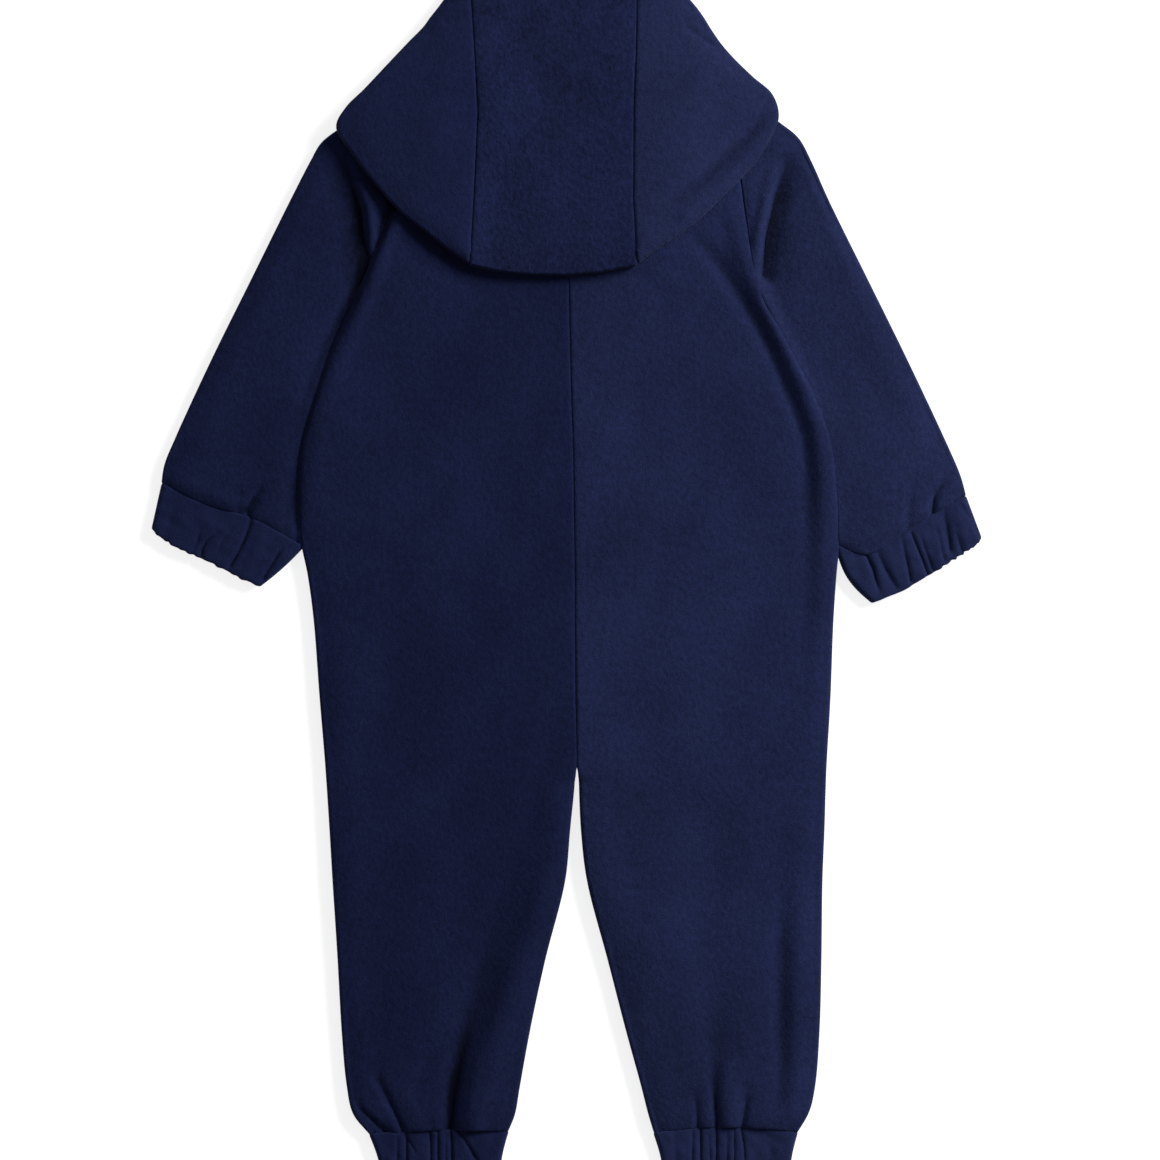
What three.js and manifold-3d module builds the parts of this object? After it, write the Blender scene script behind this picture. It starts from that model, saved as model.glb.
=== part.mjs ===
// Hooded fleece onesie for a toddler, laid flat on its front with the hood folded down over the back.
// Millimetres, Z up. X runs across the garment, +X to its right half, and Y runs from the ankles to the hood.
// Tables are measured from the crotch, and the last lines move the whole garment to the middle of its own base.
import * as THREE from "three";
import { mergeVertices } from "three/addons/utils/BufferGeometryUtils.js";
import Module from "manifold-3d";

// Cloth, and the height of the middle of each layer above the surface
const WALL = 2.4;
const TAPE = 1.0;
const SEAM_GAP = 0.35;
const EDGE_GAP = 1.5;
const FRONT_MID = WALL / 2;
const BACK_MID = 7.0;
const HOOD_UNDER_MID = 9.8;
const HOOD_TOP_MID = 13.8;
const LIP_MID = 7.4;
const HOOD_SINKS_FROM_Y = 395;
const HOOD_SUNK_Y = 450;
const LAYER_MID = (FRONT_MID + BACK_MID) / 2;
const EDGE_RADIUS = (BACK_MID - FRONT_MID) / 2;

// Heights on the body where its edges change
const ARMPIT_Y = 278;
const CROTCH_Y = 2.8;
const ZIP_TOP_Y = 420;
const ZIP_END_Y = 44;
const ZIP_TOP_X = -2.8;
const ZIP_END_X = 2.3;
const ZIP_HALF_OPENING = 5;

const CLOTH_COLOUR = 0x1b2140;
const RIB_COLOUR = 0x161b38;
const METAL_COLOUR = 0x8f949c;

const table = (columns, rows) =>
  rows.map((row) => Object.fromEntries(columns.split(" ").map((name, i) => [name, row[i]])));

// The back's halves, a row for each height: the outer edge, and the centre seam or the inside of the leg
const BACK_LEFT = table("edgeX edgeY innerX innerY sag", [
  [-68.4, 409.3, -1.1, 404.1, 2],
  [-80.9, 379.0, -1.4, 374.5, 1],
  [-92.3, 344.8, -1.7, 341.4, 0],
  [-102.6, 315.2, -1.7, 312.9, 0],
  [-119.7, 278.2, -1.7, 277.0, 0],
  [-135.7, 246.2, -1.1, 245.7, 0],
  [-147.6, 212.6, -0.3, 212.6, 0],
  [-154.5, 187.0, 0.6, 187.0, 0],
  [-156.2, 156.8, 1.1, 156.8, 0],
  [-155.0, 133.9, 1.4, 133.9, 0],
  [-151.0, 114.0, 1.7, 114.0, 0],
  [-147.6, 88.3, 1.7, 88.3, 0],
  [-144.2, 44.0, 2.3, 44.0, 0],
  [-140.8, 2.8, 2.8, 2.8, 0],
  [-138.5, -31.3, -0.6, -31.3, 0],
  [-136.8, -59.8, -3.4, -59.8, 0],
  [-133.9, -105.4, -14.8, -105.4, 0],
  [-131.7, -145.3, -23.4, -145.3, 0],
  [-128.8, -176.7, -29.4, -178.4, 0],
  [-125.4, -192.1, -31.9, -192.7, 0],
  [-115.7, -204.6, -35.9, -202.9, 0],
]);
const BACK_RIGHT = table("edgeX edgeY innerX innerY sag", [
  [68.4, 409.3, -1.1, 404.1, 2],
  [83.2, 379.0, -1.4, 374.5, 1],
  [94.0, 347.7, -1.7, 341.4, 0],
  [99.2, 315.2, -1.7, 312.9, 0],
  [107.2, 278.2, -1.7, 277.0, 0],
  [123.7, 246.2, -1.1, 245.7, 0],
  [140.8, 212.6, -0.3, 212.6, 0],
  [149.3, 187.0, 0.6, 187.0, 0],
  [152.2, 156.8, 1.1, 156.8, 0],
  [152.8, 133.9, 1.4, 133.9, 0],
  [151.0, 114.0, 1.7, 114.0, 0],
  [149.3, 88.3, 1.7, 88.3, 0],
  [147.6, 44.0, 2.3, 44.0, 0],
  [145.3, 2.8, 2.8, 2.8, 0],
  [144.2, -31.3, 4.6, -31.3, 0],
  [143.1, -59.8, 8.0, -59.8, 0],
  [142.5, -105.4, 19.9, -105.4, 0],
  [141.4, -145.3, 30.2, -145.3, 0],
  [139.1, -175.6, 38.8, -176.7, 0],
  [135.7, -190.9, 42.7, -192.1, 0],
  [128.8, -203.5, 46.2, -204.1, 0],
]);

// The front's top rows, which differ from the back's: a lower neckline that scoops by sag
const FRONT_TOP_LEFT = table("edgeX edgeY innerY sag", [
  [-68.4, 387.6, 367.6, 5],
  [-79.8, 361.9, 345.0, 3],
  [-91.2, 336.3, 322.0, 2],
  [-104.9, 307.2, 300.0, 1],
]);
const FRONT_TOP_RIGHT = table("edgeX edgeY innerY sag", [
  [68.4, 387.6, 367.6, 5],
  [79.8, 361.9, 345.0, 3],
  [89.6, 336.3, 322.0, 2],
  [98.2, 307.2, 300.0, 1],
]);

// Sleeves: the outer fold from the neck over the shoulder to the wrist, and the seam where the cuff joins
const SHOULDER_LEFT = table("x y", [
  [-78.7, 409.8], [-99.7, 393.9], [-123.7, 373.3], [-135.5, 366.0], [-142.5, 360.0], [-148.2, 350.0],
  [-159.6, 327.8], [-182.4, 282.1], [-205.2, 236.5], [-226.3, 190.9], [-232.0, 176.7], [-233.7, 165.9],
]);
const SHOULDER_RIGHT = table("x y", [
  [69.5, 413.2], [86.6, 397.3], [104.3, 381.3], [118.6, 371.1], [128.2, 363.1], [135.1, 350.5],
  [145.3, 327.8], [168.1, 282.1], [190.9, 236.5], [212.6, 190.9], [221.2, 171.0], [224.6, 159.0],
]);
const WRIST_SEAM_LEFT = table("x y", [
  [-233.7, 165.9], [-208.6, 153.9], [-180.7, 145.3], [-157.0, 131.0],
]);
const WRIST_SEAM_RIGHT = table("x y", [
  [224.6, 159.0], [197.2, 143.1], [167.6, 126.5], [154.6, 124.5],
]);
const WRIST_HEM_LEFT = table("x y", [
  [-239.4, 138.5], [-225.1, 129.4], [-205.0, 120.5], [-179.0, 106.0],
]);
const WRIST_HEM_RIGHT = table("x y", [
  [233.7, 132.8], [221.7, 125.4], [202.9, 113.4], [171.6, 95.8],
]);
const ANKLE_HEM_LEFT = table("x y", [[-107.2, -239.4], [-74.0, -240.5], [-41.0, -239.4]]);
const ANKLE_HEM_RIGHT = table("x y", [[124.3, -239.4], [88.0, -240.5], [52.4, -239.4]]);

// Hood strip: its seams on the layer that shows, the line it folds on over the back, and its face edge
const STRIP_SEAM_LEFT = table("x y", [
  [-58.1, 280.0], [-58.1, 292.4], [-55.9, 327.8], [-53.6, 376.2], [-55.3, 407.5], [-57.6, 441.7], [-55.9, 470.0],
]);
const STRIP_SEAM_RIGHT = table("x y", [
  [37.0, 280.0], [37.0, 291.8], [34.8, 327.8], [35.3, 384.7], [36.5, 414.4], [37.0, 441.7], [38.8, 470.0],
]);
const STRIP_UNDER_LEFT = table("x y", [[-58.1, 280.0], [-58.1, 298.1], [-57.0, 319.2], [-57.0, 390.4], [-58.1, 420.0]]);
const STRIP_UNDER_RIGHT = table("x y", [[37.0, 280.0], [37.0, 298.1], [35.9, 319.2], [35.3, 390.4], [36.5, 420.0]]);
const STRIP_ACROSS = table("share foldY neckY lipY", [
  [0, 292.2, 405.3, 461.1],
  [0.17, 288.0, 405.0, 464.5],
  [0.33, 286.1, 404.6, 466.4],
  [0.55, 285.3, 404.2, 467.4],
  [0.77, 286.9, 404.6, 467.2],
  [1, 291.8, 405.3, 465.7],
]);

// Hood sides, a row for each line across: from the strip's seam, out to the fold, and back under.
// The under layer lies on the back (foldZ 9.8) up to the shoulder, and then goes down to the chin (1.2).
const HOOD_LEFT = table("seamY foldX foldY endX endY foldZ endZ", [
  [298.1, -58.3, 292.4, -58.3, 298.1, 9.8, 9.8],
  [303.2, -70.7, 300.4, -57.9, 304.9, 9.8, 9.8],
  [313.5, -85.5, 311.8, -57.3, 319.2, 9.8, 9.8],
  [324.9, -98.0, 320.9, -57.3, 339.1, 9.8, 9.8],
  [336.3, -107.2, 330.6, -57.3, 356.2, 9.8, 9.8],
  [347.7, -116.3, 341.4, -57.3, 373.3, 9.8, 9.8],
  [359.1, -125.4, 354.0, -57.3, 390.4, 9.8, 9.8],
  [368.8, -134.0, 368.0, -58.4, 405.3, 9.8, 9.8],
  [377.9, -128.8, 378.5, -66.1, 407.5, 9.8, 9.8],
  [387.0, -118.6, 388.7, -70.7, 408.7, 9.8, 9.8],
  [397.3, -104.3, 404.1, -74.7, 411.0, 9.8, 9.8],
  [406.4, -92.3, 417.2, -77.5, 414.5, 9.2, 9.4],
  [414.4, -84.4, 425.8, -76.5, 416.0, 5.0, 5.4],
  [422.4, -80.9, 430.9, -69.0, 407.0, 1.2, 1.6],
  [430.3, -76.9, 436.0, -67.0, 387.6, 1.2, 1.2],
  [437.2, -73.5, 440.6, -46.7, 376.3, 1.2, 1.2],
  [440.6, -71.8, 442.9, -27.0, 370.1, 1.2, 1.2],
  [444.0, -70.1, 445.2, -7.3, 368.0, 1.2, 1.2],
  [453.1, -66.7, 449.7, -7.5, 393.3, 1.2, 1.2],
  [461.1, -62.7, 454.3, -7.8, 420.1, 1.2, 1.2],
]);
const HOOD_RIGHT = table("seamY foldX foldY endX endY foldZ endZ", [
  [298.1, 37.2, 291.8, 37.2, 298.1, 9.8, 9.8],
  [303.2, 49.6, 299.2, 36.8, 304.9, 9.8, 9.8],
  [313.5, 63.3, 307.2, 36.2, 319.2, 9.8, 9.8],
  [324.9, 75.2, 315.8, 35.6, 339.1, 9.8, 9.8],
  [336.3, 85.5, 324.9, 35.6, 356.2, 9.8, 9.8],
  [347.7, 96.3, 335.7, 35.6, 373.3, 9.8, 9.8],
  [359.1, 106.6, 347.1, 35.6, 390.4, 9.8, 9.8],
  [368.8, 117.6, 371.5, 36.8, 405.3, 9.8, 9.8],
  [377.9, 114.2, 385.9, 57.0, 407.5, 9.8, 9.8],
  [387.0, 103.5, 395.6, 62.7, 408.7, 9.8, 9.8],
  [397.3, 93.5, 405.3, 66.5, 413.1, 9.8, 9.8],
  [406.4, 85.5, 414.4, 69.0, 418.1, 9.2, 9.4],
  [414.4, 79.2, 424.1, 68.0, 419.8, 5.0, 5.4],
  [422.4, 75.2, 430.9, 64.5, 409.5, 1.2, 1.6],
  [430.3, 71.2, 436.6, 67.0, 387.2, 1.2, 1.2],
  [438.3, 67.3, 441.2, 44.5, 376.0, 1.2, 1.2],
  [442.3, 65.3, 443.8, 23.0, 369.9, 1.2, 1.2],
  [446.3, 63.3, 446.3, 3.2, 368.0, 1.2, 1.2],
  [456.0, 58.1, 452.6, 2.7, 393.3, 1.2, 1.2],
  [465.7, 52.4, 458.8, 2.4, 420.1, 1.2, 1.2],
]);

// Largest folds, as soft troughs (depth below 0) and ridges along a line, on the layer that shows
const FOLDS = table("fromX fromY toX toY depth width", [
  [112, 246, 127, 212, -0.8, 7],
  [127, 212, 137, 175, -0.9, 7],
  [137, 175, 138, 88, -0.9, 7],
  [-14, -20, -40, -105, -0.9, 12],
  [-40, -105, -53, -152, -1.3, 11],
  [-53, -152, -66, -190, -1.3, 9],
  [120, -137, 121, -176, -0.7, 9],
  [-128, 325, -119, 290, -1.1, 6],
  [115, 330, 110, 282, -1.1, 6],
]);
const HOOD_FOLDS = table("fromX fromY toX toY depth width", [
  [100, 366, 82, 348, -0.9, 8],
  [82, 348, 50, 318, -0.9, 8],
  [-112, 352, -88, 330, 0.5, 9],
]);

const { clamp, lerp, smoothstep } = THREE.MathUtils;
const degrees = (angle) => (angle * Math.PI) / 180;
const point = (x, y, z = 0) => new THREE.Vector3(x, y, z);
const zipX = (y) => lerp(ZIP_TOP_X, ZIP_END_X, (ZIP_TOP_Y - y) / (ZIP_TOP_Y - ZIP_END_Y));
const hoodTop = (y) => lerp(HOOD_TOP_MID, LIP_MID, smoothstep(y, HOOD_SINKS_FROM_Y, HOOD_SUNK_Y));

// A smooth line through a table's rows: at(t) for t from 0 to 1 with an equal share for each row
function smooth(rows, x = "x", y = "y") {
  const curve = new THREE.CatmullRomCurve3(rows.map((r) => point(r[x], r[y])), false, "centripetal");
  return (t) => curve.getPoint(clamp(t, 0, 1));
}

// Every column of a table between its rows, in straight steps
function between(rows, t) {
  const place = clamp(t, 0, 1) * (rows.length - 1);
  const i = Math.min(Math.floor(place), rows.length - 2);
  const out = {};
  for (const name of Object.keys(rows[0])) out[name] = lerp(rows[i][name], rows[i + 1][name], place - i);
  return out;
}

// The x of a seam at a height
function xAt(rows, y) {
  const i = clamp(rows.findIndex((r) => r.y >= y), 1, rows.length - 1);
  return lerp(rows[i - 1].x, rows[i].x, (y - rows[i - 1].y) / (rows[i].y - rows[i - 1].y));
}

// How far the folds lift or lower the cloth at a place
function relief(folds, x, y) {
  let lift = 0;
  for (const f of folds) {
    const dx = f.toX - f.fromX;
    const dy = f.toY - f.fromY;
    const t = clamp(((x - f.fromX) * dx + (y - f.fromY) * dy) / (dx * dx + dy * dy), 0, 1);
    const away = Math.hypot(x - f.fromX - t * dx, y - f.fromY - t * dy);
    const taper = 0.45 + 0.55 * Math.sin(Math.PI * t);
    lift += f.depth * taper * Math.exp(-((away / f.width) ** 2));
  }
  return clamp(lift, -1.6, 1.4);
}

// A closed sheet of cloth round a grid of points on its middle; a ring closes on itself across each row
function sheet(grid, wall, ring = false) {
  const rows = grid.length;
  const columns = grid[0].length;
  const top = [];
  const bottom = [];
  for (let i = 0; i < rows; i++)
    for (let j = 0; j < columns; j++) {
      const before = ring ? (j + columns - 1) % columns : Math.max(j - 1, 0);
      const after = ring ? (j + 1) % columns : Math.min(j + 1, columns - 1);
      const along = grid[Math.min(i + 1, rows - 1)][j].clone().sub(grid[Math.max(i - 1, 0)][j]);
      const across = grid[i][after].clone().sub(grid[i][before]);
      const normal = across.cross(along).normalize().multiplyScalar(wall / 2);
      top.push(grid[i][j].clone().add(normal));
      bottom.push(grid[i][j].clone().sub(normal));
    }
  const vertices = [...top, ...bottom];
  const under = top.length;
  const faces = [];
  const quad = (a, b, c, d) => faces.push(a, b, c, a, c, d);
  const at = (i, j) => i * columns + (j % columns);
  const steps = ring ? columns : columns - 1;
  for (let i = 0; i < rows - 1; i++)
    for (let j = 0; j < steps; j++) {
      quad(at(i, j), at(i, j + 1), at(i + 1, j + 1), at(i + 1, j));
      quad(under + at(i, j), under + at(i + 1, j), under + at(i + 1, j + 1), under + at(i, j + 1));
    }
  for (let j = 0; j < steps; j++) {
    quad(at(0, j + 1), at(0, j), under + at(0, j), under + at(0, j + 1));
    const last = rows - 1;
    quad(at(last, j), at(last, j + 1), under + at(last, j + 1), under + at(last, j));
  }
  if (!ring)
    for (let i = 0; i < rows - 1; i++) {
      const last = columns - 1;
      quad(at(i, 0), at(i + 1, 0), under + at(i + 1, 0), under + at(i, 0));
      quad(at(i + 1, last), at(i, last), under + at(i, last), under + at(i + 1, last));
    }
  return solid(vertices, faces);
}

// A geometry from corners and faces, turned to face outwards
function solid(vertices, faces) {
  let volume = 0;
  for (let k = 0; k < faces.length; k += 3) {
    const [a, b, c] = [vertices[faces[k]], vertices[faces[k + 1]], vertices[faces[k + 2]]];
    volume += a.dot(b.clone().cross(c));
  }
  if (volume < 0)
    for (let k = 0; k < faces.length; k += 3) [faces[k + 1], faces[k + 2]] = [faces[k + 2], faces[k + 1]];
  const geometry = new THREE.BufferGeometry();
  geometry.setAttribute("position", new THREE.Float32BufferAttribute(vertices.flatMap((v) => [v.x, v.y, v.z]), 3));
  geometry.setIndex(faces);
  geometry.computeVertexNormals();
  return geometry;
}

// Half of the back or the front. Its edge turns down (or up) half way round the fold to meet the other layer,
// where "round" is 1; it stays flat at the raglan seam, the centre seam and the zip.
const EDGE_ANGLES = [12, 34, 62, 90];
const ACROSS = [0.035, 0.075, 0.125, 0.2, 0.34, 0.52, 0.7, 0.87];
function bodyHalf(rows, { up, inset, folds, across, rowsPerStep }) {
  const edge = smooth(rows, "edgeX", "edgeY");
  const inner = smooth(rows, "innerX", "innerY");
  const flat = up ? BACK_MID : FRONT_MID;
  const turn = up ? 1 : -1;
  const count = (rows.length - 1) * rowsPerStep;
  const grid = [];
  for (let i = 0; i <= count; i++) {
    const t = i / count;
    const a = edge(t);
    const c = inner(t);
    const { sag } = between(rows, t);
    const side = Math.sign(a.x);
    c.x += side * inset(c.y);
    const trim = i === 0 || i === count ? SEAM_GAP : 0;
    a.y += i === 0 ? -trim : trim;
    c.y += i === 0 ? -trim : trim;
    const width = a.distanceTo(c);
    const inwards = c.clone().sub(a).divideScalar(width);
    const edgeRound = a.y < ARMPIT_Y - 1 ? 1 : 0;
    const innerRound = c.y < CROTCH_Y - 1 ? 1 : 0;
    const row = [];
    const place = (distance, z) => {
      const p = a.clone().addScaledVector(inwards, distance);
      const share = distance / width;
      p.y -= 4 * sag * share * (1 - share);
      p.z = z;
      row.push(p);
    };
    const turned = (angle, round, plain) => [
      lerp(plain, WALL / 2, round) + EDGE_RADIUS * (1 - Math.cos(degrees(angle))),
      lerp(flat, LAYER_MID + turn * EDGE_RADIUS * Math.sin(degrees(angle)), round),
    ];
    for (const angle of EDGE_ANGLES) {
      const [distance, z] = turned(angle, edgeRound, SEAM_GAP);
      place(distance, z);
    }
    const start = lerp(SEAM_GAP, WALL / 2, edgeRound) + EDGE_RADIUS;
    const end = width - lerp(0, WALL / 2, innerRound) - EDGE_RADIUS;
    for (const share of across) {
      place(lerp(start, end, share), flat);
      const p = row[row.length - 1];
      p.z += folds ? relief(folds, p.x, p.y) : 0;
    }
    for (const angle of [...EDGE_ANGLES].reverse()) {
      const [distance, z] = turned(angle, innerRound, 0);
      place(width - distance, z);
    }
    grid.push(row);
  }
  return sheet(grid, WALL);
}

const centreSeam = (y) => (y > CROTCH_Y + 1 ? SEAM_GAP / 2 : y > CROTCH_Y - 1 ? 0.8 : 0);
const zipOpening = (y) => (y > ZIP_END_Y - 1 ? ZIP_HALF_OPENING : centreSeam(y));

// The front has the back's outline below the armpit, and runs straight along the zip
function frontRows(top, back) {
  const upper = top.map((r) => ({ ...r, innerX: zipX(r.innerY) }));
  const lower = back.slice(4).map((r) => ({ ...r, innerX: r.innerY > CROTCH_Y - 1 ? zipX(r.innerY) : r.innerX }));
  return [...upper, ...lower];
}

const root = new THREE.Group();
function add(name, geometry, colour, finish = { roughness: 0.95 }) {
  const mesh = new THREE.Mesh(geometry, new THREE.MeshStandardMaterial({ color: colour, ...finish }));
  mesh.name = name;
  root.add(mesh);
}

add("back_left", bodyHalf(BACK_LEFT, { up: true, inset: centreSeam, folds: FOLDS, across: ACROSS, rowsPerStep: 2 }), CLOTH_COLOUR);
add("back_right", bodyHalf(BACK_RIGHT, { up: true, inset: centreSeam, folds: FOLDS, across: ACROSS, rowsPerStep: 2 }), CLOTH_COLOUR);
const FRONT_ACROSS = [0.2, 0.5, 0.8];
for (const [name, top, back] of [
  ["front_left", FRONT_TOP_LEFT, BACK_LEFT],
  ["front_right", FRONT_TOP_RIGHT, BACK_RIGHT],
])
  add(name, bodyHalf(frontRows(top, back), { up: false, inset: zipOpening, across: FRONT_ACROSS, rowsPerStep: 1 }), CLOTH_COLOUR);

// A sleeve: a flattened tube from the raglan seam to the wrist. Its first ring runs along the raglan seam and its
// last along the wrist seam, and the inside of the arm follows the body's edge.
const SLEEVE_RINGS = [0, 0.035, 0.075, 0.12, 0.17, 0.23, 0.3, 0.38, 0.47, 0.57, 0.68, 0.79, 0.9, 1];
const FOLD_ANGLES = [88, 52, 18, -18, -52, -88];
const SLEEVE_OVER = [0.035, 0.1, 0.19, 0.3, 0.42, 0.54, 0.66, 0.78, 0.88, 0.955];
const SLEEVE_UNDER = [0.8, 0.6, 0.4, 0.2];
function sleeve({ shoulder, back, frontTop, wrist }) {
  const side = Math.sign(shoulder[0].x);
  const last = wrist[wrist.length - 1];
  const armEdge = back.slice(4, 9).map((r) => ({ x: r.edgeX + side * EDGE_GAP, y: r.edgeY }));
  const outer = smooth(shoulder);
  const inner = smooth([...armEdge, last]);
  const neck = outer(0);
  const armpit = inner(0);
  const wristSeam = smooth(wrist);
  const wristStart = wristSeam(0);
  const wristEnd = wristSeam(1);
  // the first ring's way from the neck: a short piece of the neckline, then the raglan seam
  const raglan = (rows) => {
    const seam = smooth([...rows, { edgeX: armpit.x, edgeY: armpit.y }], "edgeX", "edgeY");
    const neckline = neck.distanceTo(seam(0));
    const share = neckline / (neckline + seam(0).distanceTo(armpit));
    return (s) => (s < share ? neck.clone().lerp(seam(0), s / share) : seam((s - share) / (1 - share)));
  };
  const over = raglan(back.slice(0, 4));
  const under = raglan(frontTop);
  const rings = SLEEVE_RINGS.map((t) => {
    const o = outer(t);
    const i = inner(t);
    const width = o.distanceTo(i);
    const place = (distance, seam, z) => {
      const share = distance / width;
      const offRaglan = seam(share).sub(neck.clone().lerp(armpit, share));
      const offWrist = wristSeam(share).sub(wristStart.clone().lerp(wristEnd, share));
      const p = o.clone().lerp(i, share).addScaledVector(offRaglan, (1 - t) ** 2).addScaledVector(offWrist, t ** 2);
      p.z = z;
      return p;
    };
    const turned = (angle) => WALL / 2 + EDGE_RADIUS * (1 - Math.cos(degrees(angle)));
    const height = (angle) => LAYER_MID + EDGE_RADIUS * Math.sin(degrees(angle));
    const seamFor = (angle) => (angle > 0 ? over : under);
    const start = WALL / 2 + EDGE_RADIUS;
    const end = width - start;
    const outerFold = [...FOLD_ANGLES].reverse().map((a) => place(turned(a), seamFor(a), height(a)));
    const top = SLEEVE_OVER.map((share) => place(lerp(start, end, share), over, BACK_MID));
    for (const p of top) p.z += relief(FOLDS, p.x, p.y);
    const innerFold = FOLD_ANGLES.map((a) => place(width - turned(a), seamFor(a), height(a)));
    const floor = SLEEVE_UNDER.map((share) => place(lerp(start, end, share), under, FRONT_MID));
    return [...outerFold, ...top, ...innerFold, ...floor];
  });
  return sheet(rings, WALL, true);
}
add("sleeve_left", sleeve({ shoulder: SHOULDER_LEFT, back: BACK_LEFT, frontTop: FRONT_TOP_LEFT, wrist: WRIST_SEAM_LEFT }), CLOTH_COLOUR);
add("sleeve_right", sleeve({ shoulder: SHOULDER_RIGHT, back: BACK_RIGHT, frontTop: FRONT_TOP_RIGHT, wrist: WRIST_SEAM_RIGHT }), CLOTH_COLOUR);

// A cuff: a gathered band from the seam to the hem, flat below and in soft flutes above
const CUFF_WALL = 2.0;
const WRIST_GAP = 1.1;
const ANKLE_GAP = 0.5;
const CUFF_TOP_MID = 5.6;
const CUFF_RINGS = [0, 0.3, 0.65, 1];
const FLUTES_OVER = 7;
const FLUTES_UNDER = 4;
const FLUTE_HEIGHT = 1.1;
function cuff(seamRows, hemRows, gap, pull) {
  const seam = smooth(seamRows);
  const hem = smooth(hemRows);
  const radius = (CUFF_TOP_MID - CUFF_WALL / 2) / 2;
  const middle = (CUFF_TOP_MID + CUFF_WALL / 2) / 2;
  const rings = CUFF_RINGS.map((t) => {
    const place = (distance, width, z) => {
      const share = distance / width;
      const start = seam(share);
      const way = hem(share).sub(start);
      const along = (gap / way.length()) * (1 - t) + t;
      const waist = pull * Math.sin(Math.PI * t) * (1 - 2 * share);
      const p = start.addScaledVector(way, along);
      const across = hem(1).sub(hem(0)).normalize();
      p.addScaledVector(across, waist);
      p.z = z;
      return p;
    };
    const width = seam(0).distanceTo(seam(1));
    const turned = (angle) => CUFF_WALL / 2 + radius * (1 - Math.cos(degrees(angle)));
    const height = (angle) => middle + radius * Math.sin(degrees(angle));
    const start = CUFF_WALL / 2 + radius;
    const end = width - start;
    const flutes = (count, z, lift) =>
      Array.from({ length: 2 * count + 1 }, (_, k) => {
        const up = k % 2 ? FLUTE_HEIGHT * (0.75 + 0.25 * Math.sin(2.3 * k)) : 0;
        return place(lerp(start, end, k / (2 * count)), width, z + lift * up);
      });
    return [
      ...[-52, 0, 52].map((a) => place(turned(a), width, height(a))),
      ...flutes(FLUTES_OVER, CUFF_TOP_MID, t === 0 ? 0.6 : 1),
      ...[52, 0, -52].map((a) => place(width - turned(a), width, height(a))),
      ...flutes(FLUTES_UNDER, CUFF_WALL / 2, 0.5).reverse(),
    ];
  });
  return sheet(rings, CUFF_WALL, true);
}
// An ankle's seam is the last row of the back's table, from the outside of the leg to the inside
const ankleSeam = (back) => {
  const { edgeX, edgeY, innerX, innerY } = back[back.length - 1];
  return [{ x: edgeX, y: edgeY }, { x: (edgeX + innerX) / 2, y: (edgeY + innerY) / 2 }, { x: innerX, y: innerY }];
};
add("wrist_cuff_left", cuff(WRIST_SEAM_LEFT, WRIST_HEM_LEFT, WRIST_GAP, 0), RIB_COLOUR);
add("wrist_cuff_right", cuff(WRIST_SEAM_RIGHT, WRIST_HEM_RIGHT, WRIST_GAP, 0), RIB_COLOUR);
add("ankle_cuff_left", cuff(ankleSeam(BACK_LEFT), ANKLE_HEM_LEFT, ANKLE_GAP, 2), RIB_COLOUR);
add("ankle_cuff_right", cuff(ankleSeam(BACK_RIGHT), ANKLE_HEM_RIGHT, ANKLE_GAP, 2), RIB_COLOUR);

// The hood's centre strip, from the neck seam down the back, round its fold and up to the face edge
const STRIP_FOLD_RADIUS = (HOOD_TOP_MID - HOOD_UNDER_MID) / 2;
const STRIP_UNDER_STEPS = [0, 0.25, 0.5, 0.75, 1];
const STRIP_FOLD_ANGLES = [-60, -30, 0, 30, 60];
const STRIP_TOP_STEPS = [0, 0.06, 0.14, 0.25, 0.37, 0.49, 0.6, 0.7, 0.79, 0.87, 0.94, 1];
function hoodStrip() {
  const columns = STRIP_ACROSS.length;
  const acrossTable = STRIP_ACROSS.map((r) => r.share);
  const x = (left, right, y, share) => lerp(xAt(left, y) + SEAM_GAP, xAt(right, y) - SEAM_GAP, share);
  const row = (place) => Array.from({ length: columns }, (_, j) => place(STRIP_ACROSS[j], acrossTable[j]));
  const reach = WALL / 2 + STRIP_FOLD_RADIUS;
  const rows = [
    ...STRIP_UNDER_STEPS.map((t) =>
      row((r, share) => {
        const y = lerp(r.neckY, r.foldY + reach, t);
        return point(x(STRIP_UNDER_LEFT, STRIP_UNDER_RIGHT, y, share), y, HOOD_UNDER_MID);
      }),
    ),
    ...STRIP_FOLD_ANGLES.map((angle) =>
      row((r, share) => {
        const y = r.foldY + reach - STRIP_FOLD_RADIUS * Math.cos(degrees(angle));
        const z = (HOOD_UNDER_MID + HOOD_TOP_MID) / 2 + STRIP_FOLD_RADIUS * Math.sin(degrees(angle));
        return point(x(STRIP_SEAM_LEFT, STRIP_SEAM_RIGHT, y, share), y, z);
      }),
    ),
    ...STRIP_TOP_STEPS.map((t) =>
      row((r, share) => {
        const y = lerp(r.foldY + reach, r.lipY, t);
        return point(x(STRIP_SEAM_LEFT, STRIP_SEAM_RIGHT, y, share), y, hoodTop(y));
      }),
    ),
  ];
  return sheet(rows, WALL);
}
add("hood_centre", hoodStrip(), CLOTH_COLOUR);

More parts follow.
